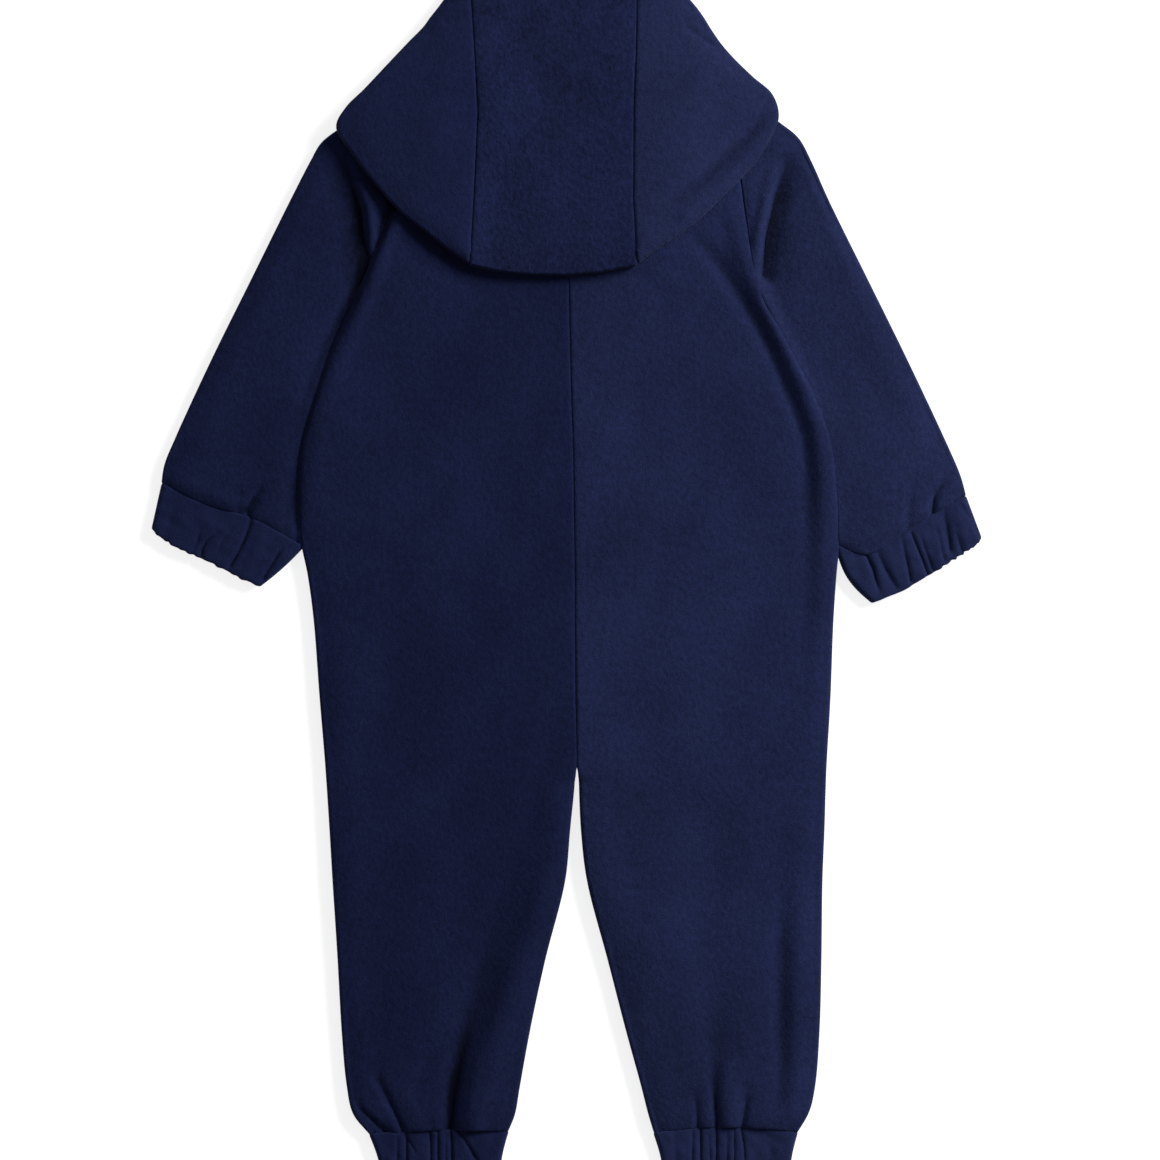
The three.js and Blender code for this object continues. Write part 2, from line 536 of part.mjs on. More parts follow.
// A side of the hood: over from the strip's seam, round the fold at the outline, and back under
const HOOD_TOP_SHARES = [0, 0.14, 0.3, 0.46, 0.62, 0.76, 0.88, 1];
const HOOD_FOLD_ANGLES = [60, 30, 0, -30, -60];
const HOOD_UNDER_SHARES = [0, 0.2, 0.45, 0.72, 1];
const HOOD_FOLD_WIDTH = 2.6;
const HOOD_LINES = 27;
function hoodSide(rows, seamRows) {
  const count = HOOD_LINES;
  const side = Math.sign(rows[0].foldX);
  const fold = smooth(rows, "foldX", "foldY");
  const grid = [];
  for (let i = 0; i <= count; i++) {
    const t = i / count;
    const { seamY, foldZ, endX, endY, endZ } = between(rows, t);
    const s = point(xAt(seamRows, seamY) + (side * SEAM_GAP) / 2, seamY);
    const f = fold(t);
    const e = point(endX, endY);
    const outwards = f.clone().sub(s).normalize();
    const back = f.clone().sub(e).normalize();
    const top = hoodTop(f.y);
    const row = [];
    const turnWidth = Math.min((top - foldZ) / 2, HOOD_FOLD_WIDTH);
    const reach = WALL / 2 + turnWidth;
    const lastTop = f.clone().addScaledVector(outwards, -reach);
    for (const share of HOOD_TOP_SHARES) {
      const p = s.clone().lerp(lastTop, share);
      p.z = hoodTop(p.y) + (share === 1 ? 0 : relief(HOOD_FOLDS, p.x, p.y));
      row.push(p);
    }
    for (const angle of HOOD_FOLD_ANGLES) {
      const way = outwards.clone().lerp(back, (90 - angle) / 180).normalize();
      const p = f.clone().addScaledVector(way, -(WALL / 2 + turnWidth * (1 - Math.cos(degrees(angle)))));
      p.z = (top + foldZ) / 2 + ((top - foldZ) / 2) * Math.sin(degrees(angle));
      row.push(p);
    }
    const firstUnder = f.clone().addScaledVector(back, -reach);
    for (const share of HOOD_UNDER_SHARES) {
      const p = firstUnder.clone().lerp(e, share);
      p.z = lerp(foldZ, endZ, share);
      row.push(p);
    }
    grid.push(row);
  }
  return sheet(grid, WALL);
}
add("hood_left", hoodSide(HOOD_LEFT, STRIP_SEAM_LEFT), CLOTH_COLOUR);
add("hood_right", hoodSide(HOOD_RIGHT, STRIP_SEAM_RIGHT), CLOTH_COLOUR);

// Zip: a tape behind each front edge, and the slider at the chin with its pull tab hanging on the outside
const TAPE_MID = FRONT_MID + WALL / 2 + 0.3 + TAPE / 2;
const TAPE_INNER = 1.3;
const TAPE_OUTER = 11;
const TAPE_STEPS = 12;
for (const [name, side] of [["zip_tape_left", -1], ["zip_tape_right", 1]]) {
  const rows = Array.from({ length: TAPE_STEPS + 1 }, (_, i) => {
    const y = lerp(ZIP_TOP_Y - 2, ZIP_END_Y - 2, i / TAPE_STEPS);
    return [TAPE_INNER, TAPE_OUTER].map((x) => point(zipX(y) + side * x, y, TAPE_MID));
  });
  add(name, sheet(rows, TAPE), CLOTH_COLOUR);
}

const SLIDER_Y = 408;
const SLIDER_LENGTH = 9;
const PLATE_HALF = 3.6;
const PLATE = 0.8;
const NECK_HALF = 0.8;
const OUTSIDE_PLATE_MID = 1.9;
const INSIDE_PLATE_MID = 4.5;
const HINGE_Y = SLIDER_Y - SLIDER_LENGTH / 2 - 1.5;
const HINGE_Z = 1.5;
const PIN_RADIUS = 0.45;
const EYE_BORE_RADIUS = 0.75;
const EYE_RADIUS = 1.15;
const LUG_HALF_GAP = 1.3;
const LUG = 0.9;
const EYE_HALF = 1.0;
const TAB_LENGTH = 20;
const TAB_HALF = 2.2;
const TAB = 0.9;
const wasm = await Module();
wasm.setup();
const asManifold = (geometry) => {
  const plain = new THREE.BufferGeometry();
  plain.setAttribute("position", (geometry.index ? geometry.toNonIndexed() : geometry).getAttribute("position"));
  const merged = mergeVertices(plain, 1e-4);
  return new wasm.Manifold(
    new wasm.Mesh({ numProp: 3, vertProperties: merged.attributes.position.array, triVerts: new Uint32Array(merged.index.array) }),
  );
};
const asGeometry = (body) => {
  const mesh = body.getMesh();
  const geometry = new THREE.BufferGeometry();
  geometry.setAttribute("position", new THREE.Float32BufferAttribute(mesh.vertProperties, 3));
  geometry.setIndex(Array.from(mesh.triVerts));
  const flat = geometry.toNonIndexed();
  flat.computeVertexNormals();
  return flat;
};
const block = (x, y, z, sx, sy, sz) => asManifold(new THREE.BoxGeometry(sx, sy, sz).translate(x, y, z));
const barAlongX = (radius, length, y, z) =>
  asManifold(new THREE.CylinderGeometry(radius, radius, length, 20).rotateZ(Math.PI / 2).translate(zipX(SLIDER_Y), y, z));

const sliderX = zipX(SLIDER_Y);
let slider = block(sliderX, SLIDER_Y, OUTSIDE_PLATE_MID, 2 * PLATE_HALF, SLIDER_LENGTH, PLATE)
  .add(block(sliderX, SLIDER_Y, INSIDE_PLATE_MID, 2 * PLATE_HALF, SLIDER_LENGTH, PLATE))
  .add(block(sliderX, SLIDER_Y + SLIDER_LENGTH / 4, (OUTSIDE_PLATE_MID + INSIDE_PLATE_MID) / 2, 2 * NECK_HALF, SLIDER_LENGTH / 3, INSIDE_PLATE_MID - OUTSIDE_PLATE_MID));
for (const side of [-1, 1])
  slider = slider.add(block(sliderX + side * (LUG_HALF_GAP + LUG / 2), (HINGE_Y - 0.8 + SLIDER_Y) / 2, HINGE_Z, LUG, SLIDER_Y - HINGE_Y + 0.8, 1.6));
slider = slider.add(barAlongX(PIN_RADIUS, 2 * (LUG_HALF_GAP + LUG / 2), HINGE_Y, HINGE_Z));
add("zip_slider", asGeometry(slider), METAL_COLOUR, { roughness: 0.35, metalness: 1 });

const tabOutline = new THREE.Shape();
tabOutline.moveTo(-EYE_HALF, 0);
tabOutline.lineTo(EYE_HALF, 0);
tabOutline.lineTo(EYE_HALF, -3);
tabOutline.lineTo(TAB_HALF, -5);
tabOutline.lineTo(TAB_HALF, -TAB_LENGTH + 2);
tabOutline.quadraticCurveTo(TAB_HALF, -TAB_LENGTH, 0, -TAB_LENGTH);
tabOutline.quadraticCurveTo(-TAB_HALF, -TAB_LENGTH, -TAB_HALF, -TAB_LENGTH + 2);
tabOutline.lineTo(-TAB_HALF, -5);
tabOutline.lineTo(-EYE_HALF, -3);
const tabPlate = asManifold(
  new THREE.ExtrudeGeometry(tabOutline, { depth: TAB, bevelEnabled: false, curveSegments: 6 }).translate(sliderX, HINGE_Y, HINGE_Z - TAB / 2),
);
const pull = tabPlate
  .add(barAlongX(EYE_RADIUS, 2 * EYE_HALF, HINGE_Y, HINGE_Z))
  .subtract(barAlongX(EYE_BORE_RADIUS, 2 * EYE_HALF + 2, HINGE_Y, HINGE_Z));
add("zip_pull", asGeometry(pull), METAL_COLOUR, { roughness: 0.35, metalness: 1 });

// The origin is the middle of the base of the whole garment
root.updateMatrixWorld(true);
const whole = new THREE.Box3().setFromObject(root);
const middle = whole.getCenter(point(0, 0, 0));
for (const mesh of root.children) mesh.geometry.translate(-middle.x, -middle.y, -whole.min.z);
root.updateMatrixWorld(true);
export default root;
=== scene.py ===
# Hooded fleece onesie for a toddler, laid flat on its front and seen from straight above.
# Blender works in metres in the frame's axes. The tables below are a maker's: millimetres from the crotch,
# +X to the garment's right half and +Y from the ankles to the hood.
import math

import bpy
import numpy as np
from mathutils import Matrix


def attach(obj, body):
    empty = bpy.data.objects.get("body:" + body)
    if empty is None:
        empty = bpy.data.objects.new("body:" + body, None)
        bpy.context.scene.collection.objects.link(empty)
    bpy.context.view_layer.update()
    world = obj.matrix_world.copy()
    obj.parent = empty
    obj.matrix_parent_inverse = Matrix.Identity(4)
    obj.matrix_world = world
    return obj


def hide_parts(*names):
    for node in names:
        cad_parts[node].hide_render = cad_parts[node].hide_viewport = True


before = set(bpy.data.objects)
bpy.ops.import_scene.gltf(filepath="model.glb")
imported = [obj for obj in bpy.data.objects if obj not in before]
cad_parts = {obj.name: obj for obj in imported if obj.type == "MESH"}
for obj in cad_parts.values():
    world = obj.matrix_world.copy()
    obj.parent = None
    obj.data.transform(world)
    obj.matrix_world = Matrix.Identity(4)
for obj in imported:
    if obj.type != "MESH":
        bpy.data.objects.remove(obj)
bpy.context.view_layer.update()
scene = bpy.context.scene

# Camera: straight down on the garment, far enough back to see it as flat as the photograph does.
# The picture is square. Its top edge crosses the hood and its bottom edge crosses the ankle cuffs.
VIEW_ACROSS = 0.6612
VIEW_MIDDLE = (0.0074, -0.0024)
CAMERA_UP = 3.2
SENSOR_MM = 36.0
camera_data = bpy.data.cameras.new("camera")
camera_data.sensor_width = SENSOR_MM
camera_data.lens = SENSOR_MM * CAMERA_UP / VIEW_ACROSS
camera = bpy.data.objects.new("camera", camera_data)
camera.location = (*VIEW_MIDDLE, CAMERA_UP)
scene.collection.objects.link(camera)
scene.camera = camera

# Back: two halves of brushed fleece, from the nape to the ankle, joined by a plain seam down the middle.
# Each half rolls over the side to meet the front, and stays flat where it is sewn to a sleeve or its twin.
# The folds are those of a garment smoothed down by hand: a roll along the right side and hollows in the legs.
CROTCH_IN_FRAME = np.array([2.846, -113.450, 0.0])
FLEECE_WALL = 2.4
SEAM_GAP = 0.03
SEAM_LAP = 0.05
SEAM_ROUND = 2.0
FRONT_MID = FLEECE_WALL / 2
BACK_MID = 7.0
LAYER_MID = (FRONT_MID + BACK_MID) / 2
SIDE_RADIUS = (BACK_MID - FRONT_MID) / 2
ARMPIT_Y = 278
CROTCH_Y = 2.8
ARMPIT_ROLL = (ARMPIT_Y - 9, ARMPIT_Y - 1)
CROTCH_ROLL = (CROTCH_Y - 7, CROTCH_Y - 1)
BESIDE_SLEEVE_Y = (130, 165)
SIDE_ANGLES = np.radians([2, 10, 20, 32, 44, 56, 68, 79, 90])
DEEPEST_FOLD = -3.2
HIGHEST_FOLD = 3.6
EDGE_FALL = 1.2
EDGE_FALL_WIDTH = 13
ANKLE_DIP = 0.9
ANKLE_DIP_LENGTH = 9
THINNEST_EDGE = 0.06
# how deep a fold is when its painted shade starts, and when it is full
FOLD_PAINTED_SHADE_FROM_TO = (0.4, 3.4)
# height, size and seed of each kind of unevenness
SOFT_WAVES = ((0.40, 110, 3), (0.20, 38, 4), (0.05, 13, 5))

# outer edge x, y; centre seam or inside of the leg x, y; how far the neckline sags
BACK_LEFT = np.array([
    [-68.4, 409.3, -1.1, 404.1, 2],
    [-80.9, 379.0, -1.4, 374.5, 1],
    [-92.3, 344.8, -1.7, 341.4, 0],
    [-102.6, 315.2, -1.7, 312.9, 0],
    [-119.7, 278.2, -1.7, 277.0, 0],
    [-135.7, 246.2, -1.1, 245.7, 0],
    [-147.6, 212.6, -0.3, 212.6, 0],
    [-154.5, 187.0, 0.6, 187.0, 0],
    [-156.2, 156.8, 1.1, 156.8, 0],
    [-155.0, 133.9, 1.4, 133.9, 0],
    [-151.0, 114.0, 1.7, 114.0, 0],
    [-147.6, 88.3, 1.7, 88.3, 0],
    [-144.2, 44.0, 2.3, 44.0, 0],
    [-140.8, 2.8, 2.8, 2.8, 0],
    [-138.5, -31.3, -0.6, -31.3, 0],
    [-136.8, -59.8, -3.4, -59.8, 0],
    [-133.9, -105.4, -14.8, -105.4, 0],
    [-131.7, -145.3, -23.4, -145.3, 0],
    [-128.8, -176.7, -29.4, -178.4, 0],
    [-125.4, -192.1, -31.9, -192.7, 0],
    [-115.7, -204.6, -35.9, -202.9, -1.5],
])
BACK_RIGHT = np.array([
    [68.4, 409.3, -1.1, 404.1, 2],
    [83.2, 379.0, -1.4, 374.5, 1],
    [94.0, 347.7, -1.7, 341.4, 0],
    [99.2, 315.2, -1.7, 312.9, 0],
    [107.2, 278.2, -1.7, 277.0, 0],
    [123.7, 246.2, -1.1, 245.7, 0],
    [140.8, 212.6, -0.3, 212.6, 0],
    [149.3, 187.0, 0.6, 187.0, 0],
    [152.2, 156.8, 1.1, 156.8, 0],
    [152.8, 133.9, 1.4, 133.9, 0],
    [151.0, 114.0, 1.7, 114.0, 0],
    [149.3, 88.3, 1.7, 88.3, 0],
    [147.6, 44.0, 2.3, 44.0, 0],
    [145.3, 2.8, 2.8, 2.8, 0],
    [144.2, -31.3, 4.6, -31.3, 0],
    [143.1, -59.8, 8.0, -59.8, 0],
    [142.5, -105.4, 19.9, -105.4, 0],
    [141.4, -145.3, 30.2, -145.3, 0],
    [139.1, -175.6, 38.8, -176.7, 0],
    [135.7, -190.9, 42.7, -192.1, 0],
    [128.8, -203.5, 46.2, -204.1, -3.4],
])

# Folds: x, y, height (a trough is below 0) and half width at each point of its line. A trough also paints
# shade into the colour, darker the deeper it is.
BACK_FOLDS_LEFT = {
    "hollow down the inner leg": [
        (-2, 77, 0, 8), (-5, 43, -0.6, 10), (-13, 8, -0.9, 11), (-21, -31, -1.1, 12),
        (-34, -71, -1.3, 12), (-46, -105, -1.7, 11), (-54, -133, -2.2, 9.5), (-61, -152, -2.6, 7.5),
        (-65, -165, -2.9, 5.8), (-68.4, -182, -3.1, 4.8), (-69.5, -201, -2.9, 4),
    ],
    "crease in the hollow": [
        (-59, -146, -0.2, 3), (-63.5, -160, -0.9, 3), (-66.8, -174, -1.6, 2.6), (-68.8, -188, -1.9, 2.2),
        (-69.3, -202, -1.7, 1.9),
    ],
    "ridge along the inner leg": [
        (-4, -14, 0.5, 8), (-12.5, -54, 1.5, 10), (-25.7, -97, 2.6, 12), (-38, -131, 3, 11),
        (-49, -165, 3.2, 9), (-54.7, -185, 3, 7), (-57, -202, 2.2, 6),
    ],
    "fold at the ankle, long": [
        (-114, -166, -0.2, 5), (-110, -174, -1.5, 2.6), (-102, -189.8, -2.3, 2.1),
        (-95.8, -203, -2.6, 1.9),
    ],
    "fold at the ankle, short": [
        (-122, -187, -0.5, 2.4), (-119.7, -190.4, -1.5, 1.9), (-112, -197.5, -2.1, 1.8),
        (-104.3, -204, -2.2, 1.7),
    ],
    "puff between the ankle folds": [(-106, -183, 0.2, 4), (-100, -197, 0.8, 4), (-97, -204, 0.8, 4)],
    "puff beside the long ankle fold": [
        (-100, -170, 0.2, 6), (-93, -188, 0.9, 5.5), (-87, -202, 0.9, 5),
    ],
    "shallow hollow by the knee": [
        (-73, -151, -0.3, 6), (-82.6, -164, -0.8, 5), (-90, -180, -0.5, 4),
    ],
    "hollow under the hood": [(-86.6, 305, -0.8, 9), (-58, 281, -0.6, 8), (-29.6, 275, -0.3, 8)],
    "soft hollow on the hip": [(-102.6, 77, -0.3, 18), (-103.7, 20, -0.8, 22), (-104, -40, -0.5, 20)],
    "soft hollow down the shin": [
        (-108, -50, -0.4, 18), (-110, -100, -1.2, 18), (-108, -145, -1.3, 15), (-106, -168, -0.7, 10),
    ],
    "tuck under the hood": [
        (-97, 319, -1.2, 4), (-85, 308.5, -1.6, 4.5), (-72, 298.5, -1.6, 4.5), (-58, 288.5, -1.2, 4),
        (-40, 282.5, -0.6, 3.4), (-10, 280.5, -0.3, 3), (0, 280.5, -0.3, 3),
    ],
}
BACK_FOLDS_RIGHT = {
    "groove inside the rolled edge": [
        (70, 305, -0.9, 4.5), (84.4, 290.7, -1.8, 5), (95.8, 272.5, -2.1, 5), (106, 255.4, -2.2, 4.8),
        (113.8, 241, -2.1, 4.6), (121.5, 222, -2, 4.6), (128.3, 206, -2, 4.6), (132.5, 193, -1.9, 4.6),
        (134.5, 174, -1.7, 4.8), (135.2, 134, -1.2, 5.4), (134, 77, -0.6, 7), (133, 20, -0.1, 7),
    ],
    "groove inside the outer leg": [
        (119.7, -60, -0.3, 6), (118.6, -97, -1.5, 5.2), (118.6, -130, -1.8, 5), (119, -162, -1.5, 5),
        (118, -188, -0.4, 4),
    ],
    "roll along the outer leg": [
        (131, -50, 0.3, 8), (129, -97, 1.5, 8), (128.5, -130, 1.6, 8), (127.5, -162, 1.3, 8),
        (124, -190, 0.4, 6),
    ],
    "soft hollow down the leg": [
        (76.4, 8.5, 0, 14), (79.8, -71, -0.8, 16), (82, -128, -1, 12), (82, -150, -1, 8),
    ],
    "fold at the ankle, middle": [
        (81, -152, -0.5, 7), (81, -165, -1.3, 4.5), (81, -182, -2.2, 2.8), (82.4, -201, -2.6, 2.2),
    ],
    "fold at the ankle, outer": [(99, -178, -0.5, 3.4), (98.6, -188, -1.6, 2.4), (96.6, -201, -2, 2)],
    "fold at the ankle, inner": [(69.5, -182, -0.4, 2.4), (71, -191, -1.2, 1.9), (71.5, -201, -1.6, 1.8)],
    "puff between the ankle folds": [(88.5, -168, 0.4, 5), (89.5, -188, 1.1, 4.4), (89.5, -201, 1.1, 4.2)],
    "puff by the outer ankle": [(108, -182, 0.4, 6), (107, -196, 0.9, 6), (106, -203, 0.9, 6)],
    "crease under the hood": [(38.8, 285, -0.3, 6), (53, 271, -0.7, 7), (57, 248, -0.2, 8)],
    "tuck under the hood": [
        (0, 280.5, -0.3, 3), (20, 281.5, -0.4, 3), (36, 285.5, -0.5, 3), (48, 292, -0.2, 3),
    ],
}

# Folds beside the raglan seams and the arms: they run on from the body into the sleeve.
# A crevice is steep towards the body and opens slowly towards the arm.
ARMHOLE_FOLDS_LEFT = {
    "crevice": [
        (-128.8, 349, -0.9, 3), (-119.7, 320, -2.2, 2.6), (-118, 303, -2.4, 2.4), (-117, 289, -2.4, 2.4),
        (-120, 280, -1.2, 2.2),
    ],
    "open side of the crevice": [
        (-132, 348, -0.8, 4.5), (-123, 320, -1.7, 4.5), (-121.3, 303, -1.9, 4.5), (-120.4, 288, -1.9, 4),
    ],
    "slope down to the crevice": [
        (-137, 347, -0.5, 8), (-128.5, 319, -1.3, 8), (-127, 302, -1.4, 8), (-127, 285, -1.3, 8),
    ],
    "ridge between crevice and seam": [
        (-122.5, 343, 0.6, 4), (-115.3, 322, 2.3, 3.2), (-113.9, 308, 2.6, 2.8), (-114.4, 298, 2.1, 2.3),
    ],
    "shade of the hood": [(-119, 344, -1.2, 4.5), (-109, 333, -2, 4.5), (-99, 323, -1.6, 4)],
    "hollow along the seam": [
        (-102.8, 325, -2, 4), (-110.4, 308, -2.8, 3.6), (-117.6, 291, -2.4, 3),
        (-123.5, 275, -2.8, 4.5), (-131.5, 258, -3, 5.5), (-140, 240, -2.6, 6), (-147, 222, -1.9, 6),
        (-152, 205, -1.5, 6), (-157, 180, -1.4, 7), (-161, 152, -1.2, 7), (-163, 140, -0.8, 6),
    ],
    "crevice at the seam": [
        (-99.6, 326, -0.8, 1.5), (-106.7, 308.5, -1.8, 1.5), (-114.7, 291.5, -1.6, 1.5),
        (-120.6, 279, -0.6, 1.8),
    ],
    "roll along the body": [
        (-97, 318, 0.9, 3.6), (-104.5, 304, 2, 4), (-112, 285, 2.6, 4.5), (-119, 268, 2.7, 5),
        (-129.5, 246, 2.3, 6), (-140, 220, 1.6, 7), (-146.5, 195, 1.1, 8), (-148.5, 160, 0.5, 8),
    ],
}
ARMHOLE_FOLDS_RIGHT = {
    "crevice": [
        (121, 348, -0.7, 3), (115, 328, -1.9, 2.6), (110, 306, -2.1, 2.4), (107.8, 284, -1.7, 2),
    ],
    "open side of the crevice": [
        (124.4, 349, -0.8, 5), (118.6, 329, -1.9, 4.6), (113.6, 306, -2, 4.5), (111.4, 284, -1.6, 4),
    ],
    "slope down to the crevice": [
        (130, 349, -0.6, 8), (124, 329, -1.4, 8), (119, 306, -1.5, 8), (118, 284, -1.2, 8),
    ],
    "ridge beside the crevice": [
        (116.5, 344, 0.4, 4), (110.8, 328, 1.6, 3.4), (105.8, 306, 1.8, 3), (104.6, 292, 1.3, 2.8),
    ],
    "dip along the seam": [
        (97.8, 341, -0.3, 2), (98, 328, -0.5, 2), (101, 303, -0.5, 2), (105, 286, -0.2, 2),
    ],
    "roll along the body": [
        (90, 322, 0.8, 5), (96, 300, 1.5, 5), (103.5, 280, 1.9, 4.8), (111.8, 262, 2.2, 5),
        (121.5, 243, 2.3, 5.2), (132, 220, 2.3, 5.4), (138.8, 198, 2.2, 6), (142.5, 170, 1.9, 6.5),
        (143.5, 122, 1.3, 7), (141, 77, 0.7, 8), (139, 30, 0.2, 8),
    ],
}


def mix(a, b, share):
    """From a to b by a share that may be an array."""
    return a + (b - a) * share


def ease(value, low, high):
    """0 up to low, 1 from high on, and a soft step between."""
    share = np.clip((value - low) / (high - low), 0, 1)
    return share * share * (3 - 2 * share)


def smooth(points):
    """A smooth line through a table's points: a function of the share of its rows, from 0 to 1."""
    rows = np.asarray(points, float)
    rows = np.vstack([2 * rows[0] - rows[1], rows, 2 * rows[-1] - rows[-2]])

    def at(share):
        place = np.clip(share, 0, 1) * (len(rows) - 3)
        first = np.minimum(place.astype(int), len(rows) - 4)
        u = (place - first)[..., None]
        p0, p1, p2, p3 = (rows[first + k] for k in range(4))
        d0, d1, d2 = (
            np.maximum(np.linalg.norm(b - a, axis=-1, keepdims=True), 1e-4) ** 0.5
            for a, b in ((p0, p1), (p1, p2), (p2, p3))
        )
        leave = ((p1 - p0) / d0 - (p2 - p0) / (d0 + d1) + (p2 - p1) / d1) * d1
        arrive = ((p2 - p1) / d1 - (p3 - p1) / (d1 + d2) + (p3 - p2) / d2) * d1
        bend = 3 * (p2 - p1) - 2 * leave - arrive
        return p1 + leave * u + bend * u**2 + (2 * (p1 - p2) + leave + arrive) * u**3

    return at


EDGE_STEPS = np.array([0, 0.06, 0.25, 0.6, 1.1, 1.9])


def stations(line, step, gap=0.0):
    """Shares at even steps along a line, closer together at its two ends, which stop a gap short."""
    fine = np.linspace(0, 1, 2001)
    length = np.concatenate([[0], np.cumsum(np.linalg.norm(np.diff(line(fine), axis=0), axis=1))])
    start = gap + EDGE_STEPS
    end = length[-1] - start[::-1]
    count = max(int((end[0] - start[-1]) / step), 2)
    places = np.concatenate([start[:-1], np.linspace(start[-1], end[0], count), end[1:]])
    return np.interp(places, length, fine)


def crease(x, y, folds):
    """Height that a table of folds gives to the cloth at x, y."""
    lift = np.zeros(np.shape(x))
    for line in folds.values():
        nearest = np.full(np.shape(x), np.inf)
        height = np.zeros(np.shape(x))
        width = np.ones(np.shape(x))
        for (x0, y0, h0, w0), (x1, y1, h1, w1) in zip(line, line[1:]):
            share = ((x - x0) * (x1 - x0) + (y - y0) * (y1 - y0)) / ((x1 - x0) ** 2 + (y1 - y0) ** 2)
            share = np.clip(share, 0, 1)
            away = np.hypot(x - mix(x0, x1, share), y - mix(y0, y1, share))
            closer = away < nearest
            nearest = np.where(closer, away, nearest)
            height = np.where(closer, mix(h0, h1, share), height)
            width = np.where(closer, mix(w0, w1, share), width)
        lift += height * np.exp(-((nearest / width) ** 2))
    return lift


def uneven(x, y, height, size, seed):
    """Soft waves of about one size in all directions, as cloth smoothed down by hand keeps."""
    random = np.random.default_rng(seed)
    total = np.zeros(np.shape(x))
    for _ in range(10):
        angle, phase = random.uniform(0, 2 * math.pi, 2)
        wave = 2 * math.pi / (size * random.uniform(0.7, 1.6))
        total += np.sin(wave * (x * math.cos(angle) + y * math.sin(angle)) + phase)
    return height * total / 3


def relief(x, y, folds, from_edge=EDGE_FALL_WIDTH):
    """All that lifts or lowers a layer of fleece: its folds, the unevenness of cloth by hand, and its
    fall towards an edge that rolls over. Also the painted shade its folds put on the colour, from 0 to 1."""
    soft = sum(uneven(x, y, *wave) for wave in SOFT_WAVES)
    fall = EDGE_FALL * (1 - np.clip(from_edge / EDGE_FALL_WIDTH, 0, 1)) ** 2
    lift = crease(x, y, folds)
    return np.clip(lift + soft - fall, DEEPEST_FOLD, HIGHEST_FOLD), ease(-lift, *FOLD_PAINTED_SHADE_FROM_TO)


def shell(grid, wall, edge_round, ring=False):
    """Points and faces of a cloth wall round a grid on its middle, thinned to a round edge all round.
    A ring closes on itself across each row, so only its first and last rows are edges."""
    rows, columns = grid.shape[:2]
    along = np.gradient(grid, axis=0)
    if ring:
        across = np.roll(grid, -1, 1) - np.roll(grid, 1, 1)
    else:
        across = np.gradient(grid, axis=1)
    normal = np.cross(across, along)
    normal /= np.maximum(np.linalg.norm(normal, axis=2, keepdims=True), 1e-9)
    down = np.linalg.norm(np.diff(grid, axis=0), axis=2)
    from_first = np.vstack([np.zeros(columns), np.cumsum(down, axis=0)])
    inside = np.minimum(from_first, from_first[-1] - from_first)
    if not ring:
        side = np.linalg.norm(np.diff(grid, axis=1), axis=2)
        from_left = np.hstack([np.zeros((rows, 1)), np.cumsum(side, axis=1)])
        inside = np.minimum(inside, np.minimum(from_left, from_left[:, -1:] - from_left))
    share = np.clip(inside / edge_round, 0, 1)
    half = wall / 2 * np.maximum(np.sqrt(1 - (1 - share) ** 2), THINNEST_EDGE)
    offset = normal * half[..., None]
    points = np.concatenate([(grid + offset).reshape(-1, 3), (grid - offset).reshape(-1, 3)])
    index = np.arange(rows * columns).reshape(rows, columns)
    if ring:
        index = np.hstack([index, index[:, :1]])
    a, b, c, d = index[:-1, :-1], index[:-1, 1:], index[1:, 1:], index[1:, :-1]
    top = np.stack([a, b, c, d], -1).reshape(-1, 4)
    under = top[:, ::-1] + rows * columns
    rims = [index[0, ::-1], index[-1, :]]
    if not ring:
        rims += [index[:, 0], index[::-1, -1]]
    edges = [np.stack([r[:-1], r[:-1] + rows * columns, r[1:] + rows * columns, r[1:]], -1) for r in rims]
    edges = [e[:, ::-1] for e in edges]
    faces = np.concatenate([top, under, *edges])
    corner = points[faces]
    volume = np.einsum("ij,ij->i", corner[:, 0], np.cross(corner[:, 1], corner[:, 2])).sum()
    volume += np.einsum("ij,ij->i", corner[:, 0], np.cross(corner[:, 2], corner[:, 3])).sum()
    if volume < 0:
        faces = faces[:, ::-1]
    return points, faces


def piece(name, points, faces, material, node=None, body="garment"):
    """A piece of the garment in the frame's metres, in the place of its node."""
    mesh = bpy.data.meshes.new(name)
    mesh.from_pydata(((points + CROTCH_IN_FRAME) / 1000).tolist(), [], faces.tolist())
    mesh.shade_smooth()
    mesh.materials.append(material)
    made = bpy.data.objects.new(name, mesh)
    scene.collection.objects.link(made)
    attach(made, body)
    if node:
        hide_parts(node)
    return made


def cloth(name, grid, wall, edge_round, material, ring=False):
    """A sheet of cloth on its grid. The grid's fourth number is the painted shade of its folds,
    which the mesh keeps as an attribute."""
    # the fourth number is painted shade in the folds, kept on the mesh for the fleece's colour
    painted_shade = grid[..., 3].ravel()
    grid = grid[..., :3]
    made = piece(name + "_cloth", *shell(grid, wall, edge_round, ring), material, name)
    made.data.attributes.new("painted_shade", "FLOAT", "POINT").data.foreach_set("value", np.tile(painted_shade, 2))
    if ring:
        grid = np.concatenate([grid, grid[:, :1]], 1)
    return made


